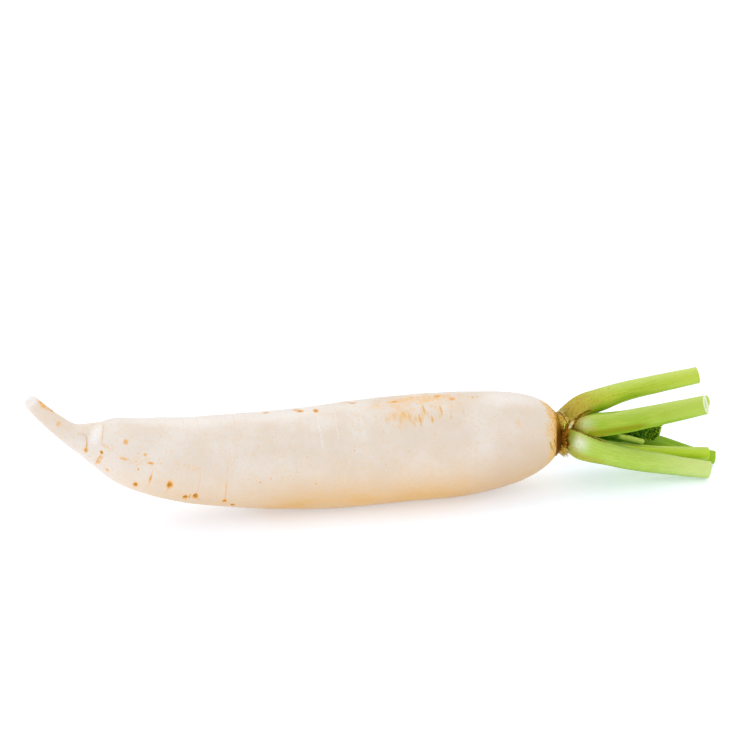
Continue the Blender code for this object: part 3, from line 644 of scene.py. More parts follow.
def stalk_look(name, tones):
    """Fresh stalk skin with fine ribs and streaks, an ochre base, and a pale fibrous cut end, with painted
    highlights on its upper side and its swollen base and painted shade underneath and where it is hidden.
    """
    light, shade, far, brown, upper, swelling = tones
    look = Look(
        name,
        0.34,
        Subsurface_Weight=0.12,
        Subsurface_Radius=(0.6, 1.0, 0.25),
        Subsurface_Scale=0.0012,
        Specular_IOR_Level=0.18,
    )
    grain = look.vector("grain")
    along = look.value("along")
    base = look.value("base")
    streaks = look.noise(look.scaled(grain, 5.0, 5.0, 0.35), 2.4, 4.0, 0.6)
    threads = look.noise(look.scaled(grain, 13.0, 13.0, 0.5), 3.0, 2.0, 0.5)
    speck = look.noise(look.where, 900.0, 3.0, 0.6)
    mottled = look.noise(look.where, 150.0, 3.0, 0.55)
    look.colour = look.mix(look.ramp(streaks, 0.34, 0.64), shade, light)
    look.layer(along, 0.45, 1.0, 0.75, far)
    look.layer(threads, 0.5, 0.72, 0.22, THREAD)
    # painted highlight on the upper side
    look.paint(look.times(look.value("upper"), upper), LIT)
    # painted shade on the underside
    look.paint(look.times(look.value("under"), 0.55), UNDERSIDE_SHADE)
    gloom = look.parts("gloom")
    hidden = look.ramp(look.frayed(gloom[1], mottled, -0.3, 0.1), 0.1, 0.8, 0.0, 0.9)
    look.paint(hidden, DEEP_SHADE)
    flecks = look.noise(look.where, 1300.0, 2.0, 0.6)
    flecks = look.plus(look.ramp(flecks, 0.56, 0.76), look.ramp(mottled, 0.35, 0.6, -0.5, 0.0))
    look.paint(look.times(look.most(flecks, 0.0), 0.4), FLECK)
    # the base turns ochre, with pale streaks and rusty specks
    ochre = look.frayed(base, streaks, -0.35, 0.25)
    ochre = look.frayed(ochre, speck, -0.15, 0.15)
    look.layer(ochre, 0.15, 0.85, brown, BASE_OCHRE)
    pale = look.times(look.ramp(threads, 0.52, 0.66), look.ramp(base, 0.3, 1.0))
    look.paint(look.times(pale, 0.5), BASE_STRAW)
    # painted highlight on the swollen base
    look.paint(look.times(look.value("highlight_spot"), swelling), SWELLING_HIGHLIGHT)
    olive = look.frayed(gloom[2], streaks, -0.3, 0.15)
    look.layer(olive, 0.1, 0.9, 0.9, OLIVE)
    look.paint(look.times(gloom[0], 0.85), SHADE_GREEN)
    matt = look.most(look.most(gloom[0], gloom[1]), look.most(gloom[2], base))
    look.tree.links.new(look.ramp(matt, 0.0, 0.8, 0.18, 0.03), look.shader.inputs["Specular IOR Level"])
    rust = look.plus(look.times(base, 0.5), look.ramp(speck, 0.40, 0.72, -0.35, 0.5))
    look.layer(rust, 0.4, 0.85, 0.7 * brown, BASE_RUST)
    edge = look.value("edge")
    seam = look.frayed(edge, speck, -0.35, 0.25)
    look.layer(seam, 0.2, 0.6, 0.6, SEAM_TAN)
    look.layer(seam, 0.6, 0.95, 0.85, SEAM_BROWN)
    # the cut end: skin, white ring of fibres, then watery pith
    cap = look.value("cap")
    radius = look.value("radius")
    pith = look.mix(look.ramp(speck, 0.35, 0.65), PITH_WET, PITH_PALE)
    ring = look.frayed(radius, speck, -0.1, 0.1)
    ring = look.times(look.ramp(ring, 0.5, 0.7), look.ramp(ring, 0.82, 0.96, 1.0, 0.0))
    pith = look.mix(look.times(ring, 0.85), pith, PITH_RING)
    pith = look.mix(look.ramp(radius, 0.93, 1.0), pith, far)
    look.paint(cap, pith)
    rough = look.ramp(look.plus(base, mottled), 0.3, 1.5, 0.3, 0.6)
    height = look.plus(look.times(threads, 0.9), look.times(speck, 0.35))
    return look.finish(rough, height, 0.35, 0.0003)


def collar_look():
    """Dry, fibrous leaf bases, near black in their folds and tan at their torn tips."""
    look = Look("dry_leaf_base", 0.9, Specular_IOR_Level=0.03)
    tone = look.value("tone")
    fibres = look.noise(look.scaled(look.where, 0.25, 1.0, 1.0), 2600.0, 3.0, 0.6)
    patch = look.noise(look.where, 420.0, 3.0, 0.6)
    tone = look.frayed(tone, fibres, -0.22, 0.22)
    tone = look.frayed(tone, patch, -0.15, 0.15)
    look.colour = look.mix(look.ramp(tone, 0.0, 0.35), FOLD, DRY_BROWN)
    look.layer(tone, 0.3, 0.65, 1.0, DRY_TAN)
    look.layer(tone, 0.6, 0.95, 1.0, DRY_STRAW)
    look.layer(tone, 1.15, 1.5, 1.0, DRY_TIP)
    return look.finish(look.ramp(fibres, 0.3, 0.7, 0.72, 0.95), fibres, 0.5, 0.0003)


def bud_look():
    look = Look("leaf_bud", 0.5, Subsurface_Weight=0.2, Subsurface_Scale=0.001, Specular_IOR_Level=0.15)
    streaks = look.noise(look.scaled(look.where, 0.3, 1.0, 1.0), 1500.0, 2.0)
    look.colour = look.mix(look.ramp(streaks, 0.35, 0.65), BUD_SHADE, BUD_LIME)
    tone = look.value("tone")
    look.paint(look.ramp(tone, -0.6, 0.0, 1.0, 0.0), BUD_OLIVE)
    look.layer(tone, 0.3, 1.0, 1.0, BUD_PALE)
    return look.finish(None, streaks, 0.3, 0.0002)


def blade_look():
    """A torn leaf: dark green between paler veins, with light ragged edges."""
    look = Look("leaf_blade", 0.6, Specular_IOR_Level=0.06)
    vein = look.value("vein")
    edge = look.value("edge")
    crinkle = look.noise(look.where, 520.0, 3.0, 0.6)
    inputs = {"Vector": look.where, "Scale": 900.0}
    cells = look.node("ShaderNodeTexVoronoi", inputs, feature="DISTANCE_TO_EDGE")
    net = look.ramp(cells.outputs["Distance"], 0.02, 0.12, 1.0, 0.0)
    look.colour = look.mix(look.ramp(crinkle, 0.36, 0.62), LEAF_DARK, LEAF_GREEN)
    look.paint(look.times(net, 0.3), LEAF_NET)
    broken = look.times(look.ramp(vein, 0.3, 0.9), look.ramp(crinkle, 0.42, 0.56, 0.25, 1.0))
    look.paint(broken, LEAF_VEIN)
    bright = look.times(look.ramp(look.noise(look.where, 1500.0, 2.0), 0.6, 0.68), look.value("right"))
    look.paint(bright, LEAF_SPARK)
    rim = look.frayed(edge, crinkle, -0.35, 0.2)
    look.layer(rim, 0.3, 0.95, 0.9, LEAF_RIM)
    height = look.plus(look.times(crinkle, 1.0), look.times(net, -0.3))
    return look.finish(look.ramp(crinkle, 0.3, 0.7, 0.35, 0.55), height, 0.6, 0.0004)


def hair_look():
    look = Look("rootlet", 0.7, Subsurface_Weight=0.1, Subsurface_Scale=0.001)
    streaks = look.noise(look.where, 1200.0, 2.0)
    look.colour = look.mix(look.ramp(streaks, 0.35, 0.65), ROOTLET_BROWN, ROOTLET_TAN)
    return look.finish(None, streaks, 0.3, 0.0002)


# ---- the root

ROOT_SIDES = 204
ROOT_STEP = 0.86
TIP_ROUNDED, TIP_LEFT = 2.6, 0.72  # length of the tail's rounding, and share of the radius left at its end


def tip_rounding(along):
    """The skin curves in towards the worn end of the tail."""
    share = min(1.0, along / TIP_ROUNDED)
    return TIP_LEFT + (1 - TIP_LEFT) * (1 - (1 - share) ** 2) ** 0.5


def root_grid():
    """Distances from the tail, turns, and for each ring its centre, side, up and radius."""
    axis = Spline(ROOT_AXIS)
    count = round(axis.length / ROOT_STEP)
    alongs = [axis.length * i / count for i in range(count + 1)]
    middles, sides, ups, radii = [], [], [], []
    for along in alongs:
        x, y, z, radius = axis.at(along)
        ahead = axis.direction(along)
        up = (UP - ahead * ahead.dot(UP)).normalized()
        middles.append((x, y, z))
        ups.append(tuple(up))
        sides.append(tuple(up.cross(ahead)))
        radii.append(radius * tip_rounding(along))
    first_ahead = axis.direction(0.0)
    for out, radius in TAIL_TIP[::-1]:
        middles.insert(0, tuple(Vector(axis.at(0.0)[:3]) - first_ahead * out))
        ups.insert(0, ups[0])
        sides.insert(0, sides[0])
        radii.insert(0, radius * tip_rounding(0.0))
        alongs.insert(0, -out)
    for step, radius in CROWN_STEPS:
        middles.append(tuple(CROWN + Vector((step, 0, 0))))
        ups.append((0, 0, 1))
        sides.append((0, 1, 0))
        radii.append(radius)
        alongs.append(axis.length + 1.2 + step)
    return [np.array(v, float) for v in (alongs, middles, sides, ups, radii)], axis.length


DASH_WIDTH = 0.8
# the upper side is a little fuller where the tail begins, and a little lower behind that
SADDLE_TURN, SADDLE_AT, SADDLE_HALF, SADDLE_RISE = 76, 45.0, 11.0, 1.25
DIP_AT, DIP_HALF, DIP_DEPTH = 67.0, 11.0, 0.5
# the warm belly, partly the root's own tan and partly painted warm reflected light: its angle, half span and
# strength, what it has before it gets stronger or weaker along the root, and those steps: where they start,
# how long they are and how much they change
WARM_AT, WARM_REACH, WARM_MOST = 265, 116, 0.92
WARM_FIRST = 0.66
WARM_STEPS = [(125, 45, 0.68), (235, 45, -0.38)]
# the shoulder's warm oval and its oval of painted shade: where, angle, half length and half span in degrees,
# then strength
SHOULDER_WARM, SHOULDER_WARMTH = (306, 215, 34, 60), 0.37
SHOULDER_SHADE, SHOULDER_SHADING = (300, 218, 48, 58), 0.34
NECK_FRONT = 165  # the speckled rim is faintest and its lip widest at this angle
RIM_WIDTH, RIM_UNEVEN, RIM_FADE = 11, 4.5, 8.5
LIP_WIDTH, LIP_WIDER = 1.6, 1.8


def nearest_mark(A):
    """For each point its place across and along the nearest mark, that mark's strength and its distance."""
    return np.dstack([np.full_like(A, 9.0), np.zeros_like(A), np.zeros_like(A), np.full_like(A, 9.0)])


def keep_nearer(kept, off, around, strength, far):
    """Take over the points that this mark is nearer to. Its strength fades out at three times its size."""
    nearer = far < kept[..., 3]
    shown = strength * smooth(3.4 - far)
    for index, values in enumerate((off, around, shown, far)):
        kept[..., index] = np.where(nearer, values, kept[..., index])


def oval(A, T, where, angle, half, span):
    """How far each point is from the middle of an oval on the skin, 1 at its border."""
    return np.hypot((A - where) / half, turn_gap(T, angle) / radians(span))


def patched(table, A, T):
    """How strongly the patches of a table mark each point."""
    best = np.zeros_like(A)
    for *place, strength in table:
        best = np.maximum(best, strength * smooth(1.25 - oval(A, T, *place)))
    return best


def mark_root(A, T, R, lift):
    """Cut creases and scars into lift, and return each point's place in the nearest of each kind of mark."""
    line, dash, spot = nearest_mark(A), nearest_mark(A), nearest_mark(A)
    for where, angle, span, depth, width, tint, slant in CREASES:
        gap = turn_gap(T, angle) / radians(span)
        path = where + 0.2 * np.sin(5.3 * T + where) + slant * gap
        off = (A - path) / width
        ends = smooth(1.2 * (1 - gap ** 2))
        lift -= depth * bell(off, 1.0) * ends
        lift += 0.35 * depth * bell(off, 2.2) * ends
        keep_nearer(line, off, gap, tint * ends, np.abs(off) + 9.0 * (np.abs(gap) > 1.0))
    for where, angle, half, strength in STREAKS:
        around = turn_gap(T, angle) * R / half
        off = (A - where) / DASH_WIDTH
        keep_nearer(dash, off, around, strength, np.hypot(off, around))
    for where, angle, half, width, depth, dark in SCARS:
        off, around = (A - where) / width, turn_gap(T, angle) * R / half
        far = np.hypot(off, around)
        lift -= depth * smooth(1.3 - far)
        lift += 0.4 * depth * bell(far - 1.45, 0.35)
        keep_nearer(spot, off, around, dark, far)
    return {"line": line[..., :3], "dash": dash[..., :3], "spot": spot[..., :3]}


def tint_root(A, T, length, uneven):
    """The warm belly and shoulder, partly the root's own tan and partly painted warm reflected light, the
    painted shade on the shoulder's lower side, the speckled rim, and the lip over the dark neck.
    """
    warm = WARM_MOST * smooth((radians(WARM_REACH) - np.abs(turn_gap(T, WARM_AT))) / radians(WARM_REACH - 20))
    level = WARM_FIRST
    for start, reach, change in WARM_STEPS:
        level = level + change * smooth((A - start) / reach)
    warm *= smooth((A - 20) / 70) * level
    warm = np.minimum(warm, 0.97)
    warm = np.maximum(warm, 0.22 * smooth((40 - A) / 30) * smooth(A / 6))
    warm = np.maximum(warm, SHOULDER_WARMTH * smooth(1.3 - oval(A, T, *SHOULDER_WARM)))
    # painted shade on the lower side of the shoulder
    shoulder_shade = SHOULDER_SHADING * smooth(1.3 - oval(A, T, *SHOULDER_SHADE))
    rim = smooth((A - (length - RIM_WIDTH + RIM_UNEVEN * uneven)) / RIM_FADE)
    rim *= 0.98 - 0.2 * bell(turn_gap(T, NECK_FRONT), radians(28))
    rim = np.maximum(rim, 0.8 * smooth((A - length + 10.5) / 5))
    lip = LIP_WIDTH + LIP_WIDER * bell(turn_gap(T, NECK_FRONT), radians(44))
    rim += 0.35 * smooth((A - length + lip + 1.8) / 1.4)
    neck = smooth((A - length + lip) / 0.9)
    hollow = bell(turn_gap(T, 178), radians(46), 4)
    return {"warm": warm, "rim": rim, "shoulder_shade": shoulder_shade, "neck": neck, "hollow": hollow}


def pressed(heights):
    """Heights of the skin with its belly pressed flat."""
    settle = smooth((heights - PRESS) / 1.6)
    above = heights * settle + (heights - PRESS) * (1 - settle)
    return np.where(heights >= PRESS, above, np.maximum(heights - PRESS, 0.0))


def root_piece():
    (alongs, middles, sides, ups, radii), length = root_grid()
    turns = np.arange(ROOT_SIDES) * 2 * pi / ROOT_SIDES
    A, T = np.meshgrid(alongs, turns, indexing="ij")
    R = np.repeat(radii[:, None], ROOT_SIDES, axis=1)
    out = np.cos(T)[..., None] * sides[:, None, :] + np.sin(T)[..., None] * ups[:, None, :]
    plain = middles[:, None, :] + R[..., None] * out
    ringed = plain * np.array([1.0, 0.16, 0.16])

    # slow lumps, small dents and faint rings
    fade = np.clip((length - A) / LUMPS_FADE, 0, 1) * smooth(A / 6)
    lift = LUMP_LONG[0] * R * np.sin(A / LUMP_LONG[1] + LUMP_LONG[2] * np.sin(T))
    lift += LUMP_OVAL[0] * R * np.sin(2 * T + A / LUMP_OVAL[1])
    lift *= fade
    lift += 0.16 * wobble(plain, 11.0, 1) * fade
    lift += 0.06 * wobble(ringed, 2.6, 2) * fade
    values = {"stain": patched(PATCHES, A, T), "pale": patched(PALE_AND_HIGHLIGHT_PATCHES, A, T)}
    values.update(mark_root(A, T, R, lift))

    # fine wrinkles run into the shoulder's recess, and its rim is uneven
    near_rim = smooth((A - (length - 14)) / 14) * smooth((length + 3.5 - A) / 2)
    lift += near_rim * 0.12 * np.sin(13 * T + 2 * np.sin(3 * T)) * smooth((A - length + 9) / 9)
    lift += near_rim * 0.25 * wobble(plain, 3.2, 3)
    on_top = bell(turn_gap(T, SADDLE_TURN), radians(48))
    lift += SADDLE_RISE * on_top * bell(A - SADDLE_AT, SADDLE_HALF, 4)
    lift -= DIP_DEPTH * on_top * bell(A - DIP_AT, DIP_HALF)
    lift += smooth((30 - A) / 24) * 0.2 * wobble(ringed, 1.6, 4)
    points = plain + lift[..., None] * out
    points[..., 2] = pressed(points[..., 2])
    values.update(tint_root(A, T, length, wobble(plain, 6.0, 5)))
    return points, tube_faces(len(alongs), ROOT_SIDES), values


# ---- leaf stalks

STALK_SIDES, STALK_RINGS, CAP_RINGS = 88, 150, 12
TURNS = [2 * pi * k / STALK_SIDES for k in range(STALK_SIDES)]
RIBS, RIB_DEPTH = 19, 0.17
YOUNG_RIBS, YOUNG_RIB_DEPTH = 9, 0.10
YOUNG_BELOW = 6.0  # a young stalk is less wide than this at its base
RIBS_FROM, RIBS_GROW = 2.0, 12.0
EDGE_LENGTH = 2.6
HIGHLIGHT_BEFORE, HIGHLIGHT_AFTER = 3.2, 4.4  # towards the base and away from it
CUT_REACH = 7.0  # how far back from a slanted cut its slant reaches
CUT_HIGHEST = 0.18
STALK_VALUES = ("grain", "base", "edge", "upper", "under", "highlight_spot", "gloom", "cap", "radius", "along")


def banded(bands, along, turn):
    """How strongly bands colour a place, from the turns at their ends, half width, first, last, strength."""
    best = 0.0
    for start, end, half, first, last, strength in bands:
        share = min(1.0, max(0.0, (along - first) / (last - first)))
        gap = turn_gap(turn, start + (end - start) * share)
        fade = 2 + 0.3 * (last - first)
        ends = min(1.0, max(0.0, (along - first) / 3 + 1)) * min(1.0, max(0.0, (last - along) / fade + 0.5))
        best = max(best, strength * bell(gap, radians(half)) * ends)
    return best


def draw_ribs(spec, seed):
    """How deep the groove beside each rib is, where the first rib lies, and how deep all of them are."""
    draw = random.Random(seed)
    young = spec["base"] < YOUNG_BELOW
    depths = [draw.uniform(0.3, 1.0) for _ in range(YOUNG_RIBS if young else RIBS)]
    phase = draw.uniform(0, 2 * pi)
    return depths, phase, (YOUNG_RIB_DEPTH if young else RIB_DEPTH) * (spec["base"] / 14) ** 0.5


def stalk_section(spec, seed, ribs, along, share):
    """One ring of the skin, in order of turn: how far each point is sideways and towards the broad face."""
    plain = spec["base"] + (spec["end"] - spec["base"]) * share
    width = plain + spec["bulge"] * bell(along - BULGE_AT, BULGE_LENGTH)
    width += spec["sheath"] * bell(along, SHEATH_LENGTH)
    clasp = bell(along, CLASP_LENGTH)
    thick = spec["ratio"] * plain
    thick += (spec["thin"] - thick) * clasp
    depths, phase, rib_depth = ribs
    ribbed = rib_depth * ease((along - RIBS_FROM) / RIBS_GROW)
    section = []
    for turn in TURNS:
        place = (len(depths) * turn / (2 * pi) + 0.25 * sin(along / 31 + phase)) % len(depths)
        index = int(place)
        groove = 1 - abs(2 * (place - index) - 1)
        dent = ribbed * depths[index] * (1 - groove) ** 1.6
        swell = 0.12 * noise.noise(Vector((along / 9, 2 * cos(turn), 2 * sin(turn) + seed)))
        sideways = (width / 2 - dent + swell) * cos(turn)
        radial = (thick / 2 - dent + swell) * sin(turn)
        for keel_at, keel_length, keel_height, keel_turn in spec["keels"]:
            keel = keel_height * bell(along - keel_at, keel_length)
            keel *= max(0.0, cos(turn - radians(keel_turn))) ** 3
            sideways += keel * cos(turn)
            radial += keel * sin(turn)
        if radial < 0 and not spec["keels"]:
            radial *= 1 - CHANNEL_DEPTH * bell(cos(turn), CHANNEL_WIDTH)
        radial -= clasp * sideways * sideways / (2 * CLASP_RADIUS)
        section.append((sideways, radial))
    return section


def skin_marks(spec, along, share, turn, facing):
    """What the material is told of a point of the skin, in the order of STALK_VALUES."""
    swollen, high = spec["swelling"]
    # a painted highlight on the swollen base
    highlight_spot = bell(along - swollen, HIGHLIGHT_BEFORE if along < swollen else HIGHLIGHT_AFTER)
    return (
        (cos(turn), sin(turn), along / 10),
        max(bell(along, spec["stained"]), banded(spec["ochres"], along, turn)),
        max(banded(spec["seams"], along, turn), spec["rimmed"] * bell(along, EDGE_LENGTH)),
        max(0.0, facing) ** 3,
        max(0.0, -facing) ** 2,
        highlight_spot * max(0.0, cos(turn - radians(high))) ** 7,
        (
            banded(spec["glooms"], along, turn),
            ease((spec["shaded"] - along) / 9 + 0.5),
            banded(spec["bands"], along, turn),
        ),
        0.0,
        1.0,
        share,
    )


def cut_height(turn, far, sideways, radial, seed):
    """How far a point of the cut end stands out: a thin lip, a ring of bundles and sunken pith."""
    rough = noise.noise(Vector((sideways * 1.1, radial * 1.1, 3.7 * seed)))
    rougher = noise.noise(Vector((sideways * 3.1, radial * 3.1, 1.7 * seed)))
    bundle = bell(far - 0.78, 0.09) * max(0.0, cos(11 * turn + seed)) ** 2
    sunk = -0.42 * ease((0.66 - far) / 0.5)
    lip = 0.12 * bell(far - 0.93, 0.05)
    return min(sunk + lip + 0.16 * bundle + 0.22 * rough * (1 - far) + 0.1 * rougher, CUT_HIGHEST)


def stalk_piece(spec, seed):
    """Points, faces and values of one stalk, ring by ring from its base and then over its cut end."""
    path = Spline(spec["path"])
    outward = Vector((0, cos(radians(spec["faces"])), sin(radians(spec["faces"]))))
    cut = Vector(spec["cut"] or path.direction(path.length)).normalized()
    ribs = draw_ribs(spec, seed)
    points, marks = [], []
    for i in range(STALK_RINGS + 1):
        along = path.length * (i / STALK_RINGS) ** BASE_CROWDING
        share = along / path.length
        middle, ahead = Vector(path.at(along)), path.direction(along)
        out = (outward - ahead * ahead.dot(outward)).normalized()
        across = ahead.cross(out)
        section = stalk_section(spec, seed, ribs, along, share)
        reach = bell(path.length - along, CUT_REACH)
        for turn, (sideways, radial) in zip(TURNS, section):
            slant = (sideways * cut.dot(across) + radial * cut.dot(out)) / cut.dot(ahead)
            rise = (spec["longer"] - slant) * reach
            points.append(middle + sideways * across + radial * out + ahead * rise)
            marks.append(skin_marks(spec, along, share, turn, sin(turn) * out.z + cos(turn) * across.z))
    # the cut end closes the last ring
    centre = sum(radial for _, radial in section) / len(section)
    for c in range(1, CAP_RINGS + 1):
        far = max(1 - c / CAP_RINGS, 0.02)
        for turn, (sideways, radial) in zip(TURNS, section):
            sideways *= far
            radial = centre + (radial - centre) * far
            slant = (sideways * cut.dot(across) + radial * cut.dot(out)) / cut.dot(ahead)
            rise = cut_height(turn, far, sideways, radial, seed) - slant + spec["longer"]
            points.append(middle + sideways * across + radial * out + ahead * rise)
            grain = (cos(turn) * far, sin(turn) * far, along / 10)
            marks.append((grain, 0.0, 0.0, 0.0, 0.0, 0.0, (0.0, 0.0, 0.0), 1.0, far, share))
    faces = tube_faces(STALK_RINGS + 1 + CAP_RINGS, STALK_SIDES)
    return points, faces, dict(zip(STALK_VALUES, zip(*marks)))


# ---- collar of dry leaf bases

COLLAR_START, COLLAR_END = 0.8, 5.2
COLLAR_INNER, COLLAR_OUTER, COLLAR_FLARE = 11.35, 12.0, 1.5
WIDEST_AT = 5.6  # the collar spreads no further beyond this
COLLAR_SCALES, COLLAR_HAIRS = 17, 170
FRINGE, TUFT = (205, 290), (70, 100)  # angles of the torn fringe below and of the tuft on top
# torn edges round the neck: points as start past the crown, angle and lift, then thickness and tone
COLLAR_CORDS = [
    ([(2.9, 86, 0.2), (3.3, 98, 0.5), (3.7, 112, 0.6), (4.3, 127, 0.6), (5.2, 143, 0.5)], 0.24, -0.1),
    ([(5.0, 150, 0.7), (4.7, 165, 0.8), (5.0, 182, 0.7), (4.6, 200, 0.4)], 0.25, 0.5),
    ([(1.4, 200, 0.3), (2.2, 214, 0.6), (3.4, 226, 0.8)], 0.3, 0.6),
]


def on_collar(along, angle, radius):
    """A point that far past the crown's recess, at the angle in radians and the distance from the axis."""
    return CROWN + Vector((along, radius * cos(angle), radius * sin(angle)))


def collar_radius(along):
    share = (along - COLLAR_START) / (COLLAR_END - COLLAR_START)
    return COLLAR_OUTER + COLLAR_FLARE * max(share, 0.0) ** 1.5


def over_collar(places):
    """Points of a strand, from places given as start past the crown, angle in degrees and lift."""
    return [
        tuple(on_collar(along, radians(angle), collar_radius(min(along, WIDEST_AT)) + lift))
        for along, angle, lift in places
    ]


def add_sleeve(shape):
    """The dark fibrous sleeve under the scales."""
    columns, steps = 180, (0.0, 0.15, 0.3, 0.45, 0.6, 0.75, 0.9, 1.0)
    points, tones = [], []
    for inside in (False, True):
        for share in steps if not inside else steps[::-1]:
            for k in range(columns):
                turn = 2 * pi * k / columns
                torn = 1.3 * noise.noise(Vector((3 * cos(turn), 3 * sin(turn), 4.0)))
                torn += 0.8 * noise.noise(Vector((14 * cos(turn), 14 * sin(turn), 1.0)))
                along = COLLAR_START + (COLLAR_END - 0.6 + torn - COLLAR_START) * share
                ridge = 0.28 * noise.noise(Vector((17 * cos(turn), 17 * sin(turn), 0.8 * share)))
                radius = COLLAR_INNER if inside else collar_radius(along) - 0.35 + ridge
                points.append(on_collar(along, turn, radius))
                tones.append(0.5 * ridge + (0.0 if inside else 0.9 * collar_tone(turn) * (1 - 0.4 * share)))
    rows = 2 * len(steps)
    faces = tube_faces(rows, columns, False, False)
    start = (rows - 1) * columns
    faces += [(start + c, start + (c + 1) % columns, (c + 1) % columns, c) for c in range(columns)]
    shape.add(points, faces, tones)


def add_scale(shape, angle, width, start, end, lift, tone, draw):
    """One dry scale: a thin curved plate that narrows to a torn tip."""
    rows, columns, thick = 12, 10, 0.28
    notch = [draw.uniform(-0.5, 0.6) for _ in range(columns + 1)]
    bend = draw.uniform(-0.12, 0.12)
    points, tones = [], []
    for side in (1, -1):
        for r in range(rows + 1):
            share = r / rows
            for c in range(columns + 1):
                across = 2 * c / columns - 1
                along = start + (end - start) * share + notch[c] * share ** 3
                narrow = (1 - 0.55 * share ** 2) * (0.92 + 0.08 * cos(9 * share))
                turn = angle + across * width * narrow / 2 + bend * share
                radius = collar_radius(along) + lift * (0.15 + share ** 1.4) - 0.35 * across ** 2
                radius += side * thick / 2 * (1 - 0.6 * share)
                points.append(on_collar(along, turn, radius))
                # the inner sheet is darker, a painted shade, and the middle a little darker
                darker = 0.12 * (1 - abs(across)) + (0.25 if side < 0 else 0)
                tones.append(tone + 0.25 * share ** 2 - darker)
    shape.add(points, plate_faces(rows, columns), tones)


# tone of the dry scales round the neck: angle in degrees and tone, from 0, near black, to 1, tan
COLLAR_TONES = [
    (0, 0.45), (60, 0.8), (90, 0.9), (122, 0.9), (136, 0.7), (150, 0.36), (165, 0.3), (200, 0.24),
    (214, 0.75), (240, 1.15), (290, 0.9), (360, 0.45),
]


def collar_tone(angle):
    return float(np.interp(angle % (2 * pi) * 180 / pi, *zip(*COLLAR_TONES)))


def add_fibre(shape, number, draw):
    """One fibre of the collar. Every second one hangs in the fringe below or stands in the tuft on top."""
    loose = number % 2 == 1
    angle = radians(draw.uniform(*FRINGE)) if loose else draw.uniform(0, 2 * pi)
    angle = radians(draw.uniform(*TUFT)) if number % 8 == 1 else angle
    start = draw.uniform(1.2, 4.6)
    reach = draw.uniform(1.4, 3.2) + (0.6 if loose else 0.0)
    out = draw.uniform(0.8, 2.0) if loose else draw.uniform(0.0, 0.7)
    sway = draw.uniform(-0.12, 0.12)
    path = []
    for step in range(5):
        share = step / 4
        along = start + reach * share
        radius = collar_radius(min(along, WIDEST_AT)) + (0.1 + out * share ** 1.5)
        point = on_collar(along, angle + sway * share ** 2, radius)
        path.append(tuple(point - UP * 0.5 * share ** 2))
    tone = draw.uniform(1.1, 1.9) if loose else draw.uniform(0.1, 0.8)
    hair(shape, path, draw.uniform(0.07, 0.14), tone, rings=7)


def collar_piece():
    draw = random.Random(21)
    shape = Shape()
    add_sleeve(shape)
    for k in range(COLLAR_SCALES):
        angle = 2 * pi * k / COLLAR_SCALES + draw.uniform(-0.1, 0.1)
        tone = collar_tone(angle) + draw.uniform(-0.07, 0.07)
        width = draw.uniform(0.34, 0.6)
        start = COLLAR_START + draw.uniform(0.0, 0.9)
        end = COLLAR_END + draw.uniform(-1.6, 0.7)
        add_scale(shape, angle, width, start, end, draw.uniform(0.1, 0.75), tone, draw)
    for number in range(COLLAR_HAIRS):
        add_fibre(shape, number, draw)
    for path, thickness, tone in COLLAR_CORDS:
        hair(shape, over_collar(path), thickness, tone, rings=24, end=0.5)
    return shape


# leaf buds between the scales: points as start past the crown, angle and lift, then thickness and tone,
# from olive over lime to pale
BUDS = [
    ([(3.8, 127, 0.1), (3.2, 133, 0.75), (2.7, 141, 0.85), (2.3, 149, 0.4)], 0.75, 0.15),
    ([(5.0, 148, 0.1), (6.0, 143, 0.5), (7.6, 134, 0.1), (9.6, 124, -1.6)], 1.3, 1.0),
    ([(3.6, 64, -0.4), (4.6, 66, 0.5), (5.8, 68, 0.8), (6.6, 70, 0.6)], 0.6, 0.4),
    ([(0.8, 92, 0.0), (1.5, 88, 0.9), (2.6, 84, 1.4), (3.9, 81, 1.0)], 0.6, 0.9),
]
# green shreds left on the shoulder: distance from the tail, angle, and tone
SHREDS = [(314.4, 172, -0.35), (316.2, 180, -0.2), (317.2, 168, -0.4)]


def bud_size(size, share):
    """Radius of a bud at a share of its length: it swells fast and ends in a point."""
    return size * (0.35 + 0.65 * sin(pi * min(1.0, share * 1.15) ** 0.8)) * (1 - share ** 6 * 0.8)


def bud_piece():
    """Lime leaf buds and a pale bract that show between the scales, and shreds of leaf on the shoulder."""
    shape = Shape()
    for path, size, tone in BUDS:
        rod(shape, over_collar(path), partial(bud_size, size), tone, 14, 16, flat=0.7)
    for along, angle, tone in SHREDS:
        steps = ((k, 0.1 + 0.08 * k * (3 - k)) for k in range(4))
        path = [on_skin(along + 0.5 * k, angle + 5 * k, above) for k, above in steps]
        hair(shape, path, 0.3, tone, rings=9, end=0.3)
    return shape


# ---- scrap of leaf blade

BLADE_COLUMNS, BLADE_ROWS = 150, 64


def blade_point(u, v):
    lobes = 0.86 + 0.08 * sin(5.2 * pi * u) + 0.06 * sin(17 * pi * u + 1)
    taper = max(0.0, (u - BLADE_TAPER_FROM) / (1 - BLADE_TAPER_FROM))
    body = min(1.0, BLADE_FIRST_DEPTH + 0.95 * u) * (1 - (1 - BLADE_LAST_DEPTH) * taper ** 1.5)
    wave = 1.5 * sin(2.3 * pi * u + 0.6) * v + 0.9 * sin(6 * pi * u) * v * v
    notches = 1.1 * sin(9 * pi * v) * (u - 0.5)
    ragged = 0.45 * noise.noise(Vector((u * 26, 0.0, 2.0))) * v ** 3
    torn = 0.9 * noise.noise(Vector((v * 12, 5.0, 0.0))) * ease((u - 0.85) / 0.15)
    along = BLADE_LENGTH * (u - 0.5) + notches + BLADE_LEAN * v + torn
    crinkle = 0.28 * noise.noise(Vector((u * 15, v * 7, 1.0))) * min(1.0, 3 * v)
    drop = BLADE_DEPTH * v * lobes * body + ragged
    return BLADE_TOP + Vector((along, BLADE_CURL * wave - 0.8 * v + crinkle, -drop))


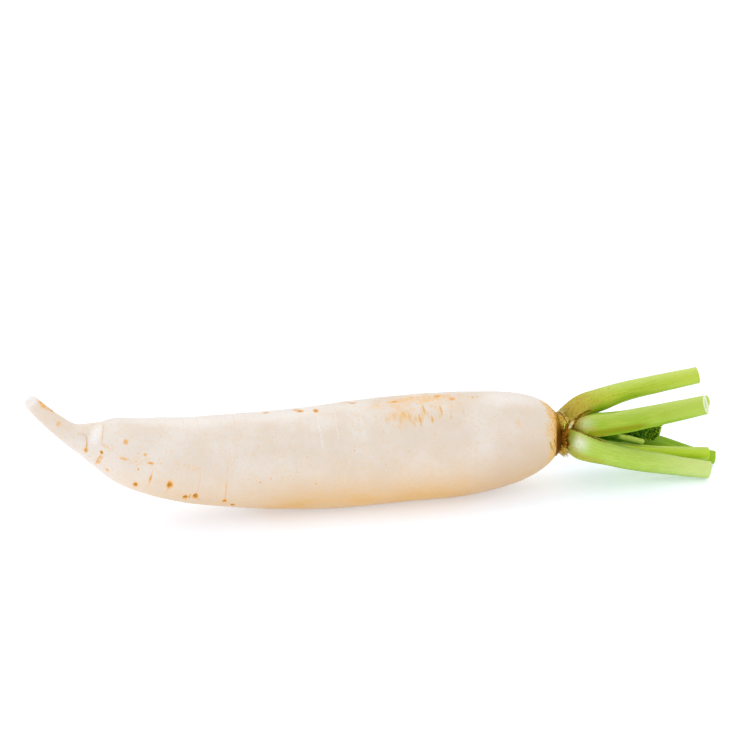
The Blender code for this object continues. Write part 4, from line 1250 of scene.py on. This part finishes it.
def vein_at(u, v):
    """1 on a vein, 0 away from one: a middle vein near the stalk and side veins that fan out from it."""
    best = bell(v - 0.06, 0.03)
    for start in (0.06, 0.22, 0.38, 0.54, 0.7, 0.84):
        path = start + 0.16 * v + 0.03 * sin(7 * v + 9 * start)
        best = max(best, (1 - 0.5 * v) * bell(u - path, 0.009))
        for fork, way in ((0.3, 1), (0.5, -1), (0.7, 1)):
            if v > fork:
                branch = path + way * 0.22 * (v - fork)
                best = max(best, 0.6 * bell(u - branch, 0.006))
    return best


def blade_piece():
    points, veins, edges, rights = [], [], [], []
    for side in (1, -1):
        for i in range(BLADE_COLUMNS + 1):
            for j in range(BLADE_ROWS + 1):
                u, v = i / BLADE_COLUMNS, j / BLADE_ROWS
                du = blade_point(min(u + 0.01, 1), v) - blade_point(max(u - 0.01, 0), v)
                dv = blade_point(u, min(v + 0.01, 1)) - blade_point(u, max(v - 0.01, 0))
                normal = du.cross(dv).normalized()
                vein = vein_at(u, v)
                border = min(1 - u, 1.2 * (1 - v), 3 * u)
                thin = 0.55 + 0.45 * min(1.0, border / 0.05)
                height = side * BLADE_THICK / 2 * thin + 0.12 * vein
                points.append(blade_point(u, v) + normal * height)
                veins.append(vein)
                edges.append(bell(border, 0.07))
                rights.append(max(0.15, min(1.0, 2.4 * (u - 0.45))))
    values = {"vein": veins, "edge": edges, "right": rights}
    return points, plate_faces(BLADE_COLUMNS, BLADE_ROWS, -1), values


# ---- rootlets


def on_skin(along, angle, above):
    """A point that far above the root's plain skin."""
    axis = Spline(ROOT_AXIS)
    x, y, z, radius = axis.at(along)
    ahead = axis.direction(along)
    up = (UP - ahead * ahead.dot(UP)).normalized()
    side = up.cross(ahead)
    turn = radians(angle)
    return tuple(Vector((x, y, z)) + (radius + above) * (cos(turn) * side + sin(turn) * up))


# fine side roots: thickness, then points as distance from the tail, angle and height above the skin
ROOTLETS = [
    (
        0.17,
        [(42, 186, -0.2), (41.8, 172, 0.25), (41, 158, 0.3), (40, 145, 0.3), (38, 136, 0.35), (35, 143, 0.5)],
    ),
    (0.14, [(50, 174, -0.3), (49.6, 186, 0.2), (49, 200, 0.25), (48.2, 214, 0.3)]),
    (0.12, [(14, 90, -0.3), (12.5, 97, 0.3), (10.6, 104, 0.4)]),
    (0.12, [(105, 213, -0.3), (106.2, 218, 0.5), (108, 222, 0.7)]),
    (0.12, [(200, 84, -0.3), (198, 82, 0.3), (195, 81, 0.5), (192, 80, 0.4)]),
    (0.2, [(84, 338, -0.3), (83, 334, 1), (80, 330, 1.6), (76, 329, 1.4)]),
    (0.18, [(158, 16, -0.3), (159.5, 12, 0.8), (162.5, 9, 1.2), (166, 8, 0.8)]),
    (0.16, [(112, 24, -0.3), (111, 30, 0.8), (108.6, 37, 1)]),
]


def rootlet_piece():
    shape = Shape()
    for thickness, path in ROOTLETS:
        hair(shape, [on_skin(*p) for p in path], thickness, 0.5, sides=7, rings=20)
    return shape


# ---- stage, light and camera

# a pale table, lit a little from below: half size in metres, two tones of its paper, and its glow
FLOOR_HALF = 4.0
FLOOR_PAPER = (0.87, 0.88, 0.92), (0.89, 0.90, 0.94)
FLOOR_GLOW = dict(Emission_Color=(0.81, 0.955, 1.14, 1), Emission_Strength=0.32)


def add_stage():
    mesh = bpy.data.meshes.new("floor")
    corners = [(FLOOR_HALF * x, FLOOR_HALF * y, 0) for x, y in ((-1, -1), (1, -1), (1, 1), (-1, 1))]
    mesh.from_pydata(corners, [], [(0, 1, 2, 3)])
    floor = bpy.data.objects.new("floor", mesh)
    bpy.context.scene.collection.objects.link(floor)
    look = Look("floor", 0.6, Specular_IOR_Level=0.15, **FLOOR_GLOW)
    paper = look.noise(look.where, 3.0, 2.0)
    look.colour = look.mix(look.ramp(paper, 0.3, 0.7), *FLOOR_PAPER)
    mesh.materials.append(look.finish())


WORLD_LIGHT = 0.84
# very soft lamps: name, direction they shine from, strength, and how wide they look in degrees
SUNS = [
    ("key", (-0.25, 0.55, 1.0), 0.68, 70),
    ("fill", (0.35, -1.0, 0.45), 0.42, 110),
]


def add_lights():
    """Soft studio light from above, with a weaker one from the camera's side."""
    scene = bpy.context.scene
    world = bpy.data.worlds.new("studio")
    world.use_nodes = True
    background = world.node_tree.nodes["Background"]
    background.inputs["Color"].default_value = (1, 1, 1, 1)
    background.inputs["Strength"].default_value = WORLD_LIGHT
    scene.world = world
    for name, place, strength, spread in SUNS:
        sun = bpy.data.lights.new(name, "SUN")
        sun.energy, sun.angle = strength, radians(spread)
        obj = bpy.data.objects.new(name, sun)
        obj.rotation_mode = "QUATERNION"
        obj.rotation_quaternion = (-Vector(place)).to_track_quat("-Z", "Y")
        scene.collection.objects.link(obj)
    scene.view_settings.view_transform = "Standard"
    scene.view_settings.look = "None"


CAMERA_AT = (-249.02, -1104.15, 535.58)  # from the same origin as the named values
CAMERA_AZIMUTH, CAMERA_ELEVATION = -11.95, 22.0
CAMERA_LENS, CAMERA_SENSOR = 100.0, 36.0


def add_camera():
    camera = bpy.data.cameras.new("camera")
    camera.lens, camera.sensor_width = CAMERA_LENS, CAMERA_SENSOR
    camera.clip_start, camera.clip_end = 0.05, 20.0
    obj = bpy.data.objects.new("camera", camera)
    a, e = radians(CAMERA_AZIMUTH), radians(CAMERA_ELEVATION)
    back = Vector((sin(a) * cos(e), -cos(a) * cos(e), sin(e)))
    obj.location = (Vector(CAMERA_AT) + Vector(PLANT_AT)) * MM
    obj.rotation_mode = "QUATERNION"
    obj.rotation_quaternion = (-back).to_track_quat("-Z", "Y")
    bpy.context.scene.collection.objects.link(obj)
    bpy.context.scene.camera = obj


# ---- the whole


def plant_offset():
    """How far the frame's root lies from where the named values put it."""
    low, high = (np.array(corner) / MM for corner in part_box("root"))
    crown_end = CROWN.x + CROWN_STEPS[-1][0]
    widest = max(station[3] for station in ROOT_AXIS)
    middle = next(station[1] for station in ROOT_AXIS if station[3] == widest)
    return np.array([high[0] - crown_end, (low[1] + high[1]) / 2 - middle, 0.0])


PLANT_AT = plant_offset()
add_camera()
add_lights()
add_stage()

points, faces, values = root_piece()
make_piece("root_skin", points, faces, root_look(), "root", values)
for number, (node, spec) in enumerate(STALKS.items()):
    points, faces, values = stalk_piece({**PLAIN_STALK, **spec}, number + 3)
    make_piece(node + "_skin", points, faces, stalk_look(node, spec["tones"]), node, values)
points, faces, values = collar_piece().parts()
make_piece("leaf_base_scales", points, faces, collar_look(), "leaf_base_collar", values)
points, faces, values = bud_piece().parts()
make_piece("leaf_buds", points, faces, bud_look(), None, values)
points, faces, values = blade_piece()
make_piece("leaf_blade", points, faces, blade_look(), "leaf_blade_scrap", values)
points, faces, values = rootlet_piece().parts()
make_piece("rootlets", points, faces, hair_look(), None, values)

bpy.context.view_layer.update()
